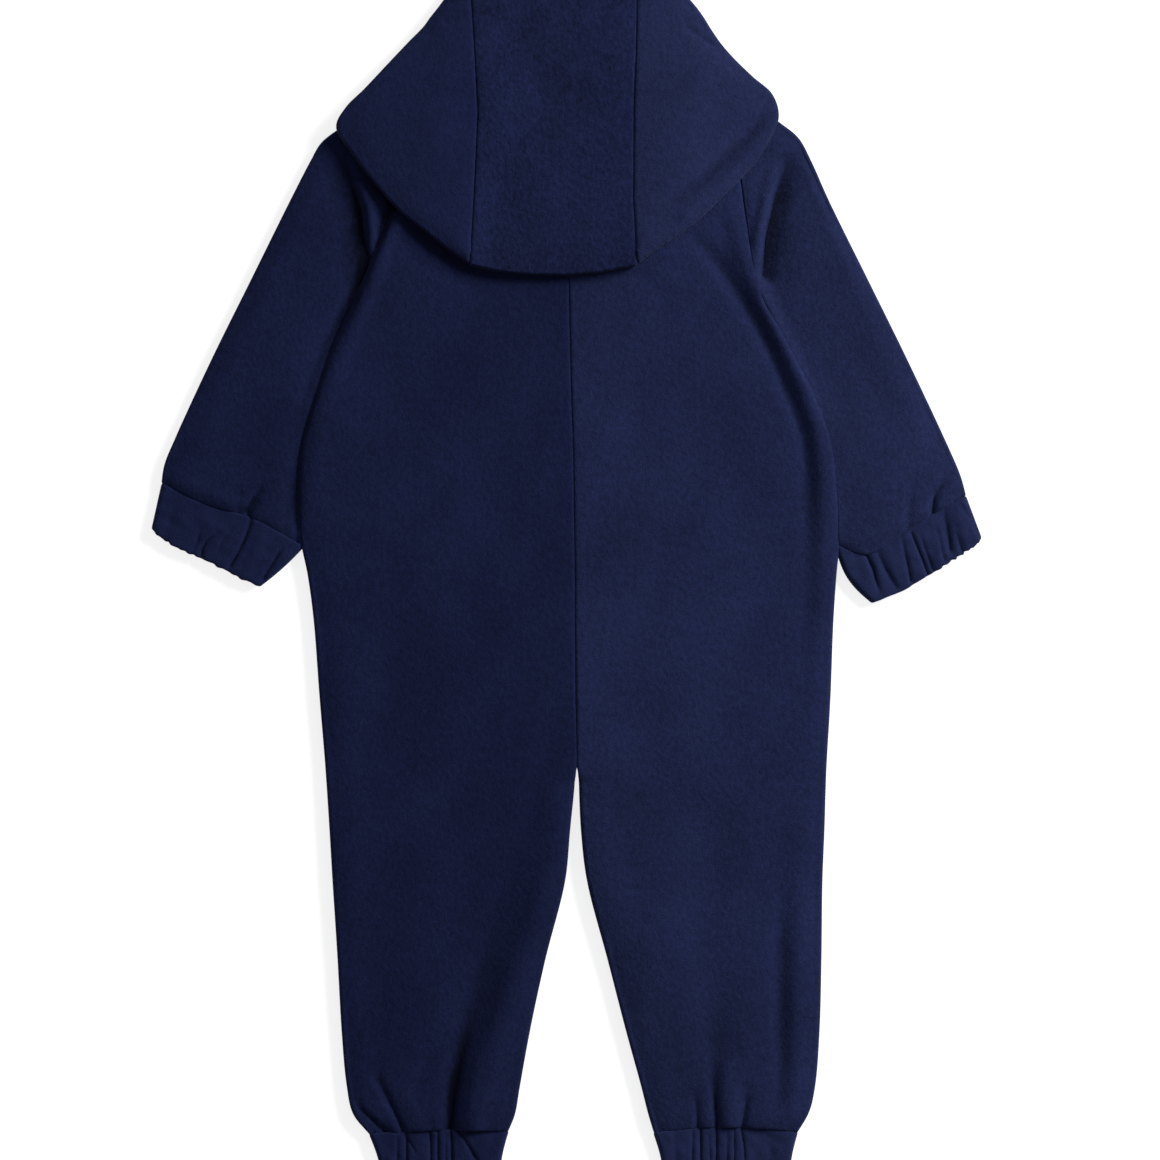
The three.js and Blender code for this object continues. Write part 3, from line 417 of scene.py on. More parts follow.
class Nodes:
    """Short ways to make the nodes of one material."""

    def __init__(self, name):
        self.material = bpy.data.materials.new(name)
        self.material.use_nodes = True
        self.tree = self.material.node_tree
        self.shader = self.tree.nodes["Principled BSDF"]
        coordinates = self.tree.nodes.new("ShaderNodeTexCoord")
        self.place = coordinates.outputs["Object"]

    def link(self, source, target):
        self.tree.links.new(source, target)

    def stretched(self, scale):
        """The object's own coordinates, stretched by a scale for each axis."""
        mapping = self.tree.nodes.new("ShaderNodeMapping")
        mapping.inputs["Scale"].default_value = scale
        self.link(self.place, mapping.inputs["Vector"])
        return mapping.outputs["Vector"]

    def noise(self, size, detail=2.0, rough=0.5, vector=None):
        """Clouds of a size in metres."""
        node = self.tree.nodes.new("ShaderNodeTexNoise")
        node.inputs["Scale"].default_value = 1 / size
        node.inputs["Detail"].default_value = detail
        node.inputs["Roughness"].default_value = rough
        self.link(vector or self.place, node.inputs["Vector"])
        return node.outputs["Fac"]

    def painted_shade(self, value, by):
        """A value lowered by the painted shade of the folds, read from the mesh."""
        fold = self.tree.nodes.new("ShaderNodeAttribute")
        fold.attribute_name = "painted_shade"
        node = self.tree.nodes.new("ShaderNodeMath")
        node.operation = "MULTIPLY_ADD"
        node.inputs[1].default_value = -by
        self.link(fold.outputs["Fac"], node.inputs[0])
        self.link(value, node.inputs[2])
        return node.outputs[0]

    def blend(self, parts):
        """Outputs that lie about a half each, weighed together about a half again."""
        total = None
        for output, weight in parts:
            node = self.tree.nodes.new("ShaderNodeMath")
            node.operation = "MULTIPLY_ADD"
            node.inputs[1].default_value = weight
            self.link(output, node.inputs[0])
            if total is None:
                node.inputs[2].default_value = 0.5 - sum(weight for _, weight in parts) / 2
            else:
                self.link(total, node.inputs[2])
            total = node.outputs[0]
        return total

    def colours(self, value, stops):
        """A colour for each value, between stops of (value, colour)."""
        ramp = self.tree.nodes.new("ShaderNodeValToRGB")
        while len(ramp.color_ramp.elements) < len(stops):
            ramp.color_ramp.elements.new(0.5)
        for element, (place, colour) in zip(ramp.color_ramp.elements, stops):
            element.position = place
            element.color = (*colour, 1)
        self.link(value, ramp.inputs["Fac"])
        return ramp.outputs["Color"]

    def bump(self, height, distance, strength=1.0, below=None):
        """Relief of a height in metres, over another relief."""
        node = self.tree.nodes.new("ShaderNodeBump")
        node.inputs["Strength"].default_value = strength
        node.inputs["Distance"].default_value = distance
        self.link(height, node.inputs["Height"])
        if below:
            self.link(below, node.inputs["Normal"])
        return node.outputs["Normal"]


NAVY = np.array([0.0084, 0.0120, 0.0440])
# how a copy painted lighter turns paler, and one painted in shade, at half the rate, bluer
PAINTED_LIGHT_PALING = np.array([0.0040, 0.0040, -0.0080])
SHADED = 0.56
# darkest colour of the painted shade in folds, and how far that painted shade pulls the colour down
PAINTED_SHADE_TONE = 0.22
PAINTED_SHADE_STRENGTH = 0.5
LIT = 1.75
NAP_STRETCH = (1.0, 0.8, 1.0)
# size in metres and weight in the shade
CLOUD = (0.060, 0.45)
PATCH = (0.014, 0.18)
CLUMPS = (0.0026, 0.5)
PILE = (0.0008, 0.55)


def fleece(name, painted_light_tone, mottle=1.0, clump=1.0):
    """Brushed polar fleece: a matt pile in small clumps, cloudy where hands have turned the nap.
    Its tone is painted light or shade: above 1 a lit copy, a little paler, below 1 a shaded copy, a little
    bluer."""
    make = Nodes(name)
    nap = make.stretched(NAP_STRETCH)
    cloud = make.noise(CLOUD[0], 3, 0.5, nap)
    patch = make.noise(PATCH[0], 2, 0.5, nap)
    clumps = make.noise(CLUMPS[0], 2, 0.6, nap)
    pile = make.noise(PILE[0], 2, 0.6)
    shade = make.blend([
        (cloud, CLOUD[1] * mottle),
        (patch, PATCH[1] * mottle),
        (clumps, CLUMPS[1] * clump),
        (pile, PILE[1]),
    ])
    # navy painted lighter or darker by the piece's painted light tone
    navy = NAVY * painted_light_tone + PAINTED_LIGHT_PALING * (painted_light_tone - 1) * (1 if painted_light_tone > 1 else 0.5)
    # the colour is painted darker where the folds are deep
    colour = make.colours(make.painted_shade(shade, PAINTED_SHADE_STRENGTH), [
        (0.0, navy * PAINTED_SHADE_TONE),
        (0.2, navy * SHADED),
        (0.5, navy),
        (0.9, navy * LIT),
    ])
    make.link(colour, make.shader.inputs["Base Color"])
    low = make.bump(clumps, 0.0010, 0.40 * clump)
    make.link(make.bump(pile, 0.0004, 0.6, low), make.shader.inputs["Normal"])
    make.shader.inputs["Roughness"].default_value = 0.92
    make.shader.inputs["Specular IOR Level"].default_value = 0.05
    make.shader.inputs["Sheen Weight"].default_value = 0.10
    make.shader.inputs["Sheen Roughness"].default_value = 0.45
    make.shader.inputs["Sheen Tint"].default_value = (0.42, 0.50, 0.95, 1)
    return make.material


def centre_gap(y):
    """How far a half stays clear of the centre line: half a seam, then the opening between the legs."""
    return np.interp(y, [-30, -6, 1.8, 4.8], [0, 0.35, 0.55, -SEAM_LAP])


def body_half(rows, up, inset, folds, step):
    """Grid of half the back, or half the front when it isn't up, with a point at about every step."""
    edge_line = smooth(rows[:, 0:2])
    inner_line = smooth(rows[:, 2:4])
    share = stations(edge_line, step, SEAM_GAP)
    edge = edge_line(share)
    inner = inner_line(share)
    side = np.sign(edge[0, 0])
    inner[:, 0] += side * inset(inner[:, 1])
    sag = np.interp(share * (len(rows) - 1), np.arange(len(rows)), rows[:, 4])[:, None]
    width = np.linalg.norm(inner - edge, axis=1)[:, None]
    inwards = (inner - edge) / width
    rolls = (1 - ease(edge[:, 1], *ARMPIT_ROLL))[:, None]
    leg_rolls = (1 - ease(inner[:, 1], *CROTCH_ROLL))[:, None]
    turn = 1 if up else -1
    flat = BACK_MID if up else FRONT_MID
    reach = SIDE_RADIUS * (1 - np.cos(SIDE_ANGLES))
    rise = LAYER_MID + turn * SIDE_RADIUS * np.sin(SIDE_ANGLES)
    outer_part = mix(SEAM_GAP, FLEECE_WALL / 2, rolls) + reach
    inner_part = width - mix(0, FLEECE_WALL / 2, leg_rolls) - reach[::-1]
    middle_share = np.linspace(0, 1, int(width.mean() / step))[1:-1]
    middle_part = mix(outer_part[:, -1:], inner_part[:, :1], middle_share)
    away = np.hstack([outer_part, middle_part, inner_part])
    across = away / width
    x = edge[:, 0:1] + inwards[:, 0:1] * away
    y = edge[:, 1:2] + inwards[:, 1:2] * away - 4 * sag * across * (1 - across)
    z = np.hstack([
        mix(flat, rise, rolls),
        np.full(middle_part.shape, flat),
        mix(flat, rise[::-1], leg_rolls),
    ])
    lies = np.hstack([
        mix(1, np.sin(SIDE_ANGLES) ** 2, rolls),
        np.ones(middle_part.shape),
        mix(1, np.sin(SIDE_ANGLES[::-1]) ** 2, leg_rolls),
    ])
    if up:
        from_edge = mix(EDGE_FALL_WIDTH, away - outer_part[:, -1:], rolls)
        from_inner_leg = mix(EDGE_FALL_WIDTH, inner_part[:, :1] - away, leg_rolls)
        from_edge = mix(from_edge, EDGE_FALL_WIDTH, ease(y, *BESIDE_SLEEVE_Y))
        lift, painted_shade = relief(x, y, folds, np.maximum(np.minimum(from_edge, from_inner_leg), 0))
        z += lies * lift
        z -= ANKLE_DIP * lies * (1 - ease(y, rows[-1, 1], rows[-1, 1] + ANKLE_DIP_LENGTH))
    else:
        z += lies * np.maximum(crease(x, y, folds), 0)
        painted_shade = np.zeros(x.shape)
    return np.stack([x, y, z, lies * painted_shade], -1)


# the left half is painted in shade and the right half painted lighter, as the light falls from the right
left_fleece_painted_shade = fleece("left_fleece_painted_shade", 0.79)
right_fleece_painted_light = fleece("right_fleece_painted_light", 1.12)
BACK_STEP = 1.7
for name, rows, folds, material in (
    ("back_left", BACK_LEFT, BACK_FOLDS_LEFT | ARMHOLE_FOLDS_LEFT, left_fleece_painted_shade),
    ("back_right", BACK_RIGHT, BACK_FOLDS_RIGHT | ARMHOLE_FOLDS_RIGHT, right_fleece_painted_light),
):
    grid = body_half(rows, True, centre_gap, folds, BACK_STEP)
    cloth(name, grid, FLEECE_WALL, SEAM_ROUND, material)

# Front: two halves of the same fleece under the back, flat on the table, with the zip between them.
# Their necklines scoop lower than the back's, and below the zip they are sewn together to the crotch.
ZIP_TOP = (-2.8, 420)
ZIP_END = (2.3, 44)
ZIP_HALF_OPENING = 5
ZIP_OPENS = (37, 43)
SEAM_BELOW_ZIP_Y = 30
FRONT_TOP_LEFT = np.array([
    [-68.4, 387.6, 367.6, 5],
    [-79.8, 361.9, 345.0, 3],
    [-91.2, 336.3, 322.0, 2],
    [-104.9, 307.2, 300.0, 1],
])
FRONT_TOP_RIGHT = np.array([
    [68.4, 387.6, 367.6, 5],
    [79.8, 361.9, 345.0, 3],
    [89.6, 336.3, 322.0, 2],
    [98.2, 307.2, 300.0, 1],
])
FRONT_FOLDS_LEFT = {
    "crease across the hip": [(-120, 96, 0.1, 4), (-92, 88, 0.6, 4), (-60, 92, 0.5, 4), (-34, 88, 0, 4)],
    "crease down the thigh": [(-104, 20, 0, 5), (-92, -40, 0.6, 5), (-88, -96, 0.5, 5), (-84, -150, 0.1, 5)],
    "fold at the ankle": [(-78, -166, 0, 3), (-76, -184, 0.6, 2.4), (-75, -202, 0.8, 2)],
    "fold at the armpit": [(-108, 262, 0.7, 4), (-84, 238, 0.5, 5), (-62, 220, 0, 6)],
}
FRONT_FOLDS_RIGHT = {
    "crease across the hip": [(124, 80, 0.1, 4), (96, 74, 0.6, 4), (66, 80, 0.4, 4), (38, 78, 0, 4)],
    "crease down the thigh": [(112, 0, 0, 5), (102, -58, 0.5, 5), (98, -120, 0.6, 5), (96, -160, 0.1, 5)],
    "fold at the ankle": [(92, -162, 0, 3), (91, -182, 0.7, 2.4), (90, -202, 0.8, 2)],
    "fold at the armpit": [(98, 262, 0.6, 4), (78, 236, 0.5, 5), (56, 222, 0, 6)],
}


def zip_x(y):
    """The zip's middle at a height."""
    return mix(ZIP_TOP[0], ZIP_END[0], (ZIP_TOP[1] - y) / (ZIP_TOP[1] - ZIP_END[1]))


def zip_gap(y):
    """How far a front stays clear of the middle: wide along the zip, and a seam below it."""
    along_zip = np.interp(y, ZIP_OPENS, [-SEAM_LAP, ZIP_HALF_OPENING])
    return np.where(y > SEAM_BELOW_ZIP_Y, along_zip, centre_gap(y))


def front_rows(top, back):
    """Rows of a front: its own neck and raglan seam, then the back's outline below the armpit."""
    upper = np.column_stack([top[:, 0:2], zip_x(top[:, 2]), top[:, 2:4]])
    lower = back[4:].copy()
    lower[:, 2] = np.where(lower[:, 3] > CROTCH_Y - 1, zip_x(lower[:, 3]), lower[:, 2])
    return np.vstack([upper, lower])


FRONT_STEP = 3.4
for name, top, back, folds, material in (
    ("front_left", FRONT_TOP_LEFT, BACK_LEFT, FRONT_FOLDS_LEFT, left_fleece_painted_shade),
    ("front_right", FRONT_TOP_RIGHT, BACK_RIGHT, FRONT_FOLDS_RIGHT, right_fleece_painted_light),
):
    grid = body_half(front_rows(top, back), False, zip_gap, folds, FRONT_STEP)
    cloth(name, grid, FLEECE_WALL, SEAM_ROUND, material)

# Zip: two narrow woven tapes sewn under the fronts' edges, moulded teeth between them, and a metal
# slider with a pull tab at the closed end under the hood. It lies hidden between front and back.
TAPE_MID = 3.2
TAPE_WALL = 1.0
TAPE_FROM_TO = (1.3, 11)
TAPE_TOP = 418
TAPE_BOTTOM = 42
TAPE_POINTS = (190, 9)
# height and pitch of the tapes' soft waves
TAPE_WAVES = ((0.06, 9), (0.04, 3.7))
TEETH_FROM_TO = (45, 402)
TOOTH_PITCH = 2.4
TOOTH_HALF = np.array([1.05, 0.52, 0.75])
TOOTH_OFF_MIDDLE = 0.55
TOOTH_TAPER = 0.7
ZINC = np.array([0.32, 0.33, 0.35])


def tape_fabric():
    """Tightly woven polyester: a fine twill of slanting ribs, a little shinier than the fleece."""
    make = Nodes("zip_tape")
    slant = make.stretched((1.0, 0.55, 1.0))
    ribs = make.tree.nodes.new("ShaderNodeTexWave")
    ribs.bands_direction = "DIAGONAL"
    ribs.inputs["Scale"].default_value = 330
    ribs.inputs["Distortion"].default_value = 0.6
    make.link(slant, ribs.inputs["Vector"])
    threads = make.noise(0.0005, 2, 0.5)
    shade = make.blend([(ribs.outputs["Fac"], 0.35), (threads, 0.4)])
    make.link(make.colours(shade, [(0.2, NAVY * 0.5), (0.8, NAVY * 1.2)]), make.shader.inputs["Base Color"])
    make.link(make.bump(shade, 0.00025, 0.7), make.shader.inputs["Normal"])
    make.shader.inputs["Roughness"].default_value = 0.7
    return make.material


def metal(name, rough):
    """Cast zinc, tumbled to a dull grey: fine scratches and rubbed patches."""
    make = Nodes(name)
    scratches = make.noise(0.0006, 3, 0.6, make.stretched((1.0, 0.15, 1.0)))
    rubbed = make.noise(0.004, 2, 0.5)
    shade = make.blend([(scratches, 0.5), (rubbed, 0.6)])
    shades = make.colours(shade, [(0.2, ZINC * 0.75), (0.8, ZINC * 1.2)])
    make.link(shades, make.shader.inputs["Base Color"])
    make.link(make.bump(scratches, 0.00005, 0.5), make.shader.inputs["Normal"])
    make.shader.inputs["Metallic"].default_value = 1.0
    make.shader.inputs["Roughness"].default_value = rough
    return make.material


zip_cloth = tape_fabric()
for name, side in (("zip_tape_left", -1), ("zip_tape_right", 1)):
    y = np.linspace(TAPE_TOP, TAPE_BOTTOM, TAPE_POINTS[0])[:, None]
    away = np.linspace(*TAPE_FROM_TO, TAPE_POINTS[1])[None, ::side]
    x = zip_x(y) + side * away
    (long_wave, long_pitch), (short_wave, short_pitch) = TAPE_WAVES
    z = TAPE_MID + long_wave * np.sin(y / long_pitch + side) + short_wave * np.sin(y / short_pitch)
    grid = np.stack(np.broadcast_arrays(x, y, z, 0.0 * x), -1)
    cloth(name, grid, TAPE_WALL, 0.5, zip_cloth)

corners = np.array([(a, b, c) for a in (-1, 1) for b in (-1, 1) for c in (-1, 1)])
tooth_faces = np.array([
    (0, 1, 3, 2), (4, 6, 7, 5), (0, 4, 5, 1), (2, 3, 7, 6), (0, 2, 6, 4), (1, 5, 7, 3),
])
teeth = []
for count, y in enumerate(np.arange(*TEETH_FROM_TO, TOOTH_PITCH / 2)):
    side = 1 if count % 2 else -1
    taper = np.where(corners[:, 0:1] * side < 0, TOOTH_TAPER, 1.0)
    middle = np.array([zip_x(y) + side * TOOTH_OFF_MIDDLE, y, TAPE_MID])
    teeth.append(middle + corners * TOOTH_HALF * np.hstack([np.ones((8, 1)), taper, taper]))
faces = np.concatenate([tooth_faces + 8 * k for k in range(len(teeth))])
moulded = Nodes("zip_teeth")
grain = moulded.noise(0.0012, 2, 0.5)
tooth_colour = moulded.colours(grain, [(0.3, NAVY * 0.7), (0.7, NAVY * 1.3)])
moulded.link(tooth_colour, moulded.shader.inputs["Base Color"])
moulded.shader.inputs["Roughness"].default_value = 0.38
row = piece("zip_teeth_row", np.concatenate(teeth), faces, moulded.material)
row.data.shade_flat()
for node, rough in (("zip_slider", 0.36), ("zip_pull", 0.30)):
    bpy.data.objects[node].material_slots[0].material = metal(node + "_metal", rough)

# Sleeves: one piece of fleece each, a flat tube from the raglan seam at the neck to the wrist.
# The left one has a deep groove under the shoulder, and both are drawn into short pulls at the wrist seam.
PRESSED_LEFT = 1.8
PRESSED_RIGHT = 3.2
# how far the inner fold lies below the body's edge, and over what width
TUCKED_LEFT = (2.2, 10)
TUCKED_RIGHT = (1.1, 24)
# shares of the way from the neck to the wrist
TUCK_GROWS = (0.0, 0.2)
EDGE_FALL_GROWS = (0.02, 0.1)
WRIST_DIP_GROWS = (0.955, 1.0)
WRIST_DIP = 1.0
SLEEVE_STEP = 1.8
# points across the top and across the underside
SLEEVE_ACROSS = (64, 24)
SHOULDER_LEFT = [
    (-78.7, 409.8), (-99.7, 393.9), (-123.7, 373.3), (-135.5, 366.0), (-142.5, 360.0), (-148.2, 350.0),
    (-159.6, 327.8), (-182.4, 282.1), (-205.2, 236.5), (-226.3, 190.9), (-232.0, 176.7), (-233.7, 165.9),
]
SHOULDER_RIGHT = [
    (69.5, 413.2), (86.6, 397.3), (104.3, 381.3), (118.6, 371.1), (128.2, 363.1), (135.1, 350.5),
    (145.3, 327.8), (168.1, 282.1), (190.9, 236.5), (212.6, 190.9), (221.2, 171.0), (224.6, 159.0),
]
WRIST_SEAM_LEFT = [(-233.7, 165.9), (-208.6, 153.9), (-180.7, 145.3), (-152.8, 129.6)]
WRIST_SEAM_RIGHT = [(224.6, 159.0), (197.2, 143.1), (167.6, 125.4), (150.4, 131.0)]
SLEEVE_FOLDS_LEFT = {
    "pull above the wrist, long": [
        (-177.5, 161.5, -1, 2.4), (-182.4, 156, -2.4, 2), (-186, 150.5, -2.2, 2),
    ],
    "pull above the wrist, short": [(-179, 155, -0.8, 1.8), (-184, 148.4, -2, 1.7)],
    "soft pull above the wrist": [(-189.5, 159, -0.6, 3.2), (-189.5, 150, -1.6, 2.6)],
    "rise along the wrist seam": [
        (-223.4, 169.3, 0.4, 4), (-203.5, 160.2, 0.8, 4), (-189.2, 154.5, 0.4, 4),
    ],
    "hollow down the arm": [(-172, 268, -0.2, 12), (-186, 235, -0.7, 12), (-200, 200, -0.4, 10)],
}
SLEEVE_FOLDS_RIGHT = {
    "crease above the wrist": [
        (213.2, 171.6, -0.5, 3.4), (210.9, 165.9, -1.4, 2.4), (206.3, 159, -2.2, 2),
        (204.6, 149.9, -2.2, 1.8),
    ],
    "soft pull above the wrist": [
        (193.8, 163.6, -0.4, 3.4), (191.5, 151, -0.9, 2.8), (190.4, 141.9, -0.8, 2.4),
    ],
    "groove at the wrist seam": [
        (169, 127.4, -0.9, 1.3), (183, 135.4, -1, 1.3), (197.2, 143.9, -1, 1.3), (211, 151.6, -0.8, 1.3),
        (222, 157.6, -0.4, 1.3),
    ],
    "rise along the wrist seam": [(169.9, 136.8, 0.4, 4), (187, 144.2, 0.8, 3.8), (201, 151, 0.6, 3.5)],
    "hollow in the elbow": [(163, 242.2, -0.3, 12), (175.6, 219.4, -0.9, 12), (188.1, 196.6, -0.5, 10)],
    "hollow beside the body": [
        (113, 280, -0.5, 6), (131, 249, -0.5, 8), (149, 215, -0.5, 8), (158, 188, -0.5, 8),
        (161, 158, -0.4, 8),
    ],
}
SLEEVE_TURN = np.radians(np.linspace(-88, 88, 17))


def sleeve(shoulder, back, front_top, wrist, pressed, tucked, folds):
    """Grid of a sleeve: rings from the raglan seam to the wrist, each round the outer fold, over the
    top, round the inner fold and back along the table. Its inner fold is pressed against the body, and
    lies lower than the body's own edge."""
    side = np.sign(shoulder[0][0])
    arm_edge = [(x - side * pressed, y) for x, y in back[4:9, 0:2]]
    outer_line = smooth(shoulder)
    inner_line = smooth([*arm_edge, wrist[-1]])
    wrist_line = smooth(wrist)
    ends = np.array([0.0, 1.0])
    neck = outer_line(ends)[0]
    armpit = inner_line(ends)[0]
    wrist_start, wrist_end = wrist_line(ends)

    def raglan(rows):
        """The first ring's way from the neck: a short piece of neckline, then the raglan seam."""
        seam = smooth([*rows[:, 0:2], armpit])
        top = seam(ends)[0]
        neckline = np.linalg.norm(neck - top)
        turns_at = neckline / (neckline + np.linalg.norm(top - armpit))

        def at(share):
            on_neck = mix(neck, top, share[..., None] / turns_at)
            return np.where(share[..., None] < turns_at, on_neck, seam((share - turns_at) / (1 - turns_at)))

        return at

    over = raglan(back[:4])
    under = raglan(front_top)
    along = stations(outer_line, SLEEVE_STEP, SEAM_GAP)
    outer = outer_line(along)[:, None, :]
    inner = inner_line(along)[:, None, :]
    width = np.linalg.norm(inner - outer, axis=2)
    radius = SIDE_RADIUS
    start = FLEECE_WALL / 2 + radius
    turned = FLEECE_WALL / 2 + radius * (1 - np.cos(SLEEVE_TURN))
    height = LAYER_MID + radius * np.sin(SLEEVE_TURN)
    flat_share = np.linspace(0, 1, SLEEVE_ACROSS[0])[1:-1]
    under_share = np.linspace(1, 0, SLEEVE_ACROSS[1])[1:-1]
    lengths = np.ones((len(along), 1))
    away = np.hstack([
        lengths * turned,
        mix(start, width - start, flat_share),
        width - turned[::-1],
        mix(start, width - start, under_share),
    ])
    z = np.concatenate([
        height,
        np.full(len(flat_share), BACK_MID),
        height[::-1],
        np.full(len(under_share), FRONT_MID),
    ]) * lengths
    share = away / width
    on_top = ease(z, LAYER_MID, BACK_MID)[..., None]
    raglan_line = mix(under(share), over(share), on_top)
    off_raglan = raglan_line - mix(neck, armpit, share[..., None])
    off_wrist = wrist_line(share) - mix(wrist_start, wrist_end, share[..., None])
    t = along[:, None, None]
    flat = mix(outer, inner, share[..., None]) + off_raglan * (1 - t) ** 2 + off_wrist * t**2
    x, y = flat[..., 0], flat[..., 1]
    lifted = ease(z, LAYER_MID, BACK_MID) ** 2
    from_outer = mix(EDGE_FALL_WIDTH, away - start, ease(along[:, None], *EDGE_FALL_GROWS))
    lift, painted_shade = relief(x, y, folds, np.maximum(from_outer, 0))
    tuck_depth, tuck_width = tucked
    from_inner = np.clip((width - start - away) / tuck_width, 0, 1)
    lift -= tuck_depth * (1 - from_inner) ** 1.5 * ease(along[:, None], *TUCK_GROWS)
    z = z + lifted * np.maximum(lift, DEEPEST_FOLD)
    z -= WRIST_DIP * lifted * ease(along[:, None], *WRIST_DIP_GROWS)
    z = np.where(z < LAYER_MID, np.maximum(z, FRONT_MID), z)
    return np.stack([x, y, z, lifted * painted_shade], -1)


# the right sleeve is painted lighter still, nearest the light; the left sleeve shares the back's painted
# shade
right_sleeve_fleece_painted_light = fleece("right_sleeve_fleece_painted_light", 1.22)
grid = sleeve(
    SHOULDER_LEFT, BACK_LEFT, FRONT_TOP_LEFT, WRIST_SEAM_LEFT, PRESSED_LEFT, TUCKED_LEFT,
    ARMHOLE_FOLDS_LEFT | SLEEVE_FOLDS_LEFT,
)
cloth("sleeve_left", grid, FLEECE_WALL, SEAM_ROUND, left_fleece_painted_shade, True)
grid = sleeve(
    SHOULDER_RIGHT, BACK_RIGHT, FRONT_TOP_RIGHT, WRIST_SEAM_RIGHT, PRESSED_RIGHT, TUCKED_RIGHT,
    ARMHOLE_FOLDS_RIGHT | SLEEVE_FOLDS_RIGHT,
)
material = right_sleeve_fleece_painted_light
cloth("sleeve_right", grid, FLEECE_WALL, SEAM_ROUND, material, True)

# Wrist and ankle cuffs: doubled bands of thinner fleece with elastic inside, which gathers them unevenly.
# Each is sewn on in a ring and ends in a rounded fold. Every gather that shows has its own line below.
CUFF_WALL = 2.0
CUFF_TOP_MID = 5.6
CUFF_ROUND = 1.6
CUFF_LAP = 0.6
HEM_CORNER = 2.2
HEM_WAVES = (0.35, 7)
BAND_WAVES = ((0.14, 9), (0.22, 22))
DEEPEST_GATHER = -2.2
HIGHEST_PUFF = 1.6
HEM_DRAWN_IN = 0.9
# how deep a gather is when its painted shade starts, and when it is full
GATHER_PAINTED_SHADE = (0.2, 2.2)
CUFF_STEP = 0.75
# steps across the top and across the underside
CUFF_ACROSS = (0.55, 1.4)
WRIST_HEM_LEFT = [(-239.4, 138.5), (-225.1, 129.4), (-205.0, 120.5), (-179.0, 106.0)]
WRIST_HEM_RIGHT = [(233.7, 132.8), (221.7, 125.4), (202.9, 113.4), (171.6, 95.8)]
ANKLE_HEM_LEFT = [(-107.2, -239.4), (-74.0, -240.5), (-41.0, -239.4)]
ANKLE_HEM_RIGHT = [(124.3, -239.4), (88.0, -240.5), (52.4, -239.4)]
WRIST_FOLDS_LEFT = {
    "long gather": [
        (-182.4, 145.9, -1, 1.5), (-184.7, 138.5, -1.3, 1.4), (-187.5, 131.7, -1.5, 1.4),
        (-190.9, 125.4, -1.6, 1.4), (-194.9, 118.6, -1.6, 1.6),
    ],
    "bent gather": [
        (-201.8, 137.9, -0.4, 1.3), (-208, 133.4, -1.1, 1.3), (-210.9, 128.2, -1.3, 1.4),
        (-211.5, 122.5, -1.3, 1.5),
    ],
    "short gather": [(-193.8, 139.6, -0.3, 1.5), (-198.4, 134.5, -0.6, 1.4), (-201.8, 127.1, -0.2, 1.6)],
    "faint gather": [(-212, 139.6, -0.3, 1.6), (-213.2, 132.8, -0.7, 1.6), (-217.7, 124.8, -0.4, 2)],
    "faint outer gather": [(-224.6, 156.8, -0.1, 3), (-228, 145.3, -0.5, 3), (-231.4, 135.1, -0.6, 3)],
    "rolled inner end": [
        (-165.3, 128.8, -0.5, 1.4), (-167, 126, -1.1, 1.3), (-172.1, 118, -1.4, 1.3),
        (-176.1, 111.7, -1.4, 1.4),
    ],
    "puff beside the long gather": [
        (-176.7, 136.8, 0.6, 4), (-180.1, 127.1, 0.8, 4), (-184.7, 116.8, 0.6, 4),
    ],
}
WRIST_FOLDS_RIGHT = {
    "deep inner gather": [
        (167.6, 124.8, -1.2, 1.4), (171, 118, -1.8, 1.4), (172.7, 111.1, -1.5, 1.4),
        (175, 104.3, -0.6, 1.6),
    ],
    "soft gather": [(173.3, 127.7, -0.5, 1.8), (178.4, 116.8, -1, 1.8), (185.2, 106.6, -1.2, 2)],
    "gather": [(187.5, 135.7, -0.3, 1.3), (190.4, 121.4, -1.1, 1.4), (193.2, 110, -1.4, 1.5)],
    "sharp gather": [(193.2, 137.4, -0.9, 1.2), (198.4, 124.8, -1.7, 1.3), (202.9, 114.6, -1.7, 1.4)],
    "gather beside it": [(198.4, 136.2, -0.3, 1.2), (201.2, 127.1, -0.8, 1.2), (205.8, 116.8, -1.1, 1.3)],
    "broad gather": [(211.5, 151, -0.7, 2.2), (213.7, 139.6, -1.6, 2.2), (215.5, 128.2, -1.5, 2)],
    "outer gather": [(221.7, 153.3, -0.4, 1.8), (228, 144.2, -0.9, 1.6), (232.6, 133.9, -1.1, 1.6)],
    "short outer gather": [(218.9, 136.2, -0.2, 1.4), (222.3, 126.5, -0.8, 1.5)],
    "faint gather": [(206.3, 144.2, -0.2, 1.2), (209.8, 131.1, -0.5, 1.2), (212, 122.5, -0.7, 1.3)],
    "puff": [(181.3, 127.1, 0.5, 3.2), (185.8, 116.8, 0.6, 3.2)],
    "outer puff": [(220, 145.3, 0.6, 4), (223.4, 136.2, 0.6, 4)],
}
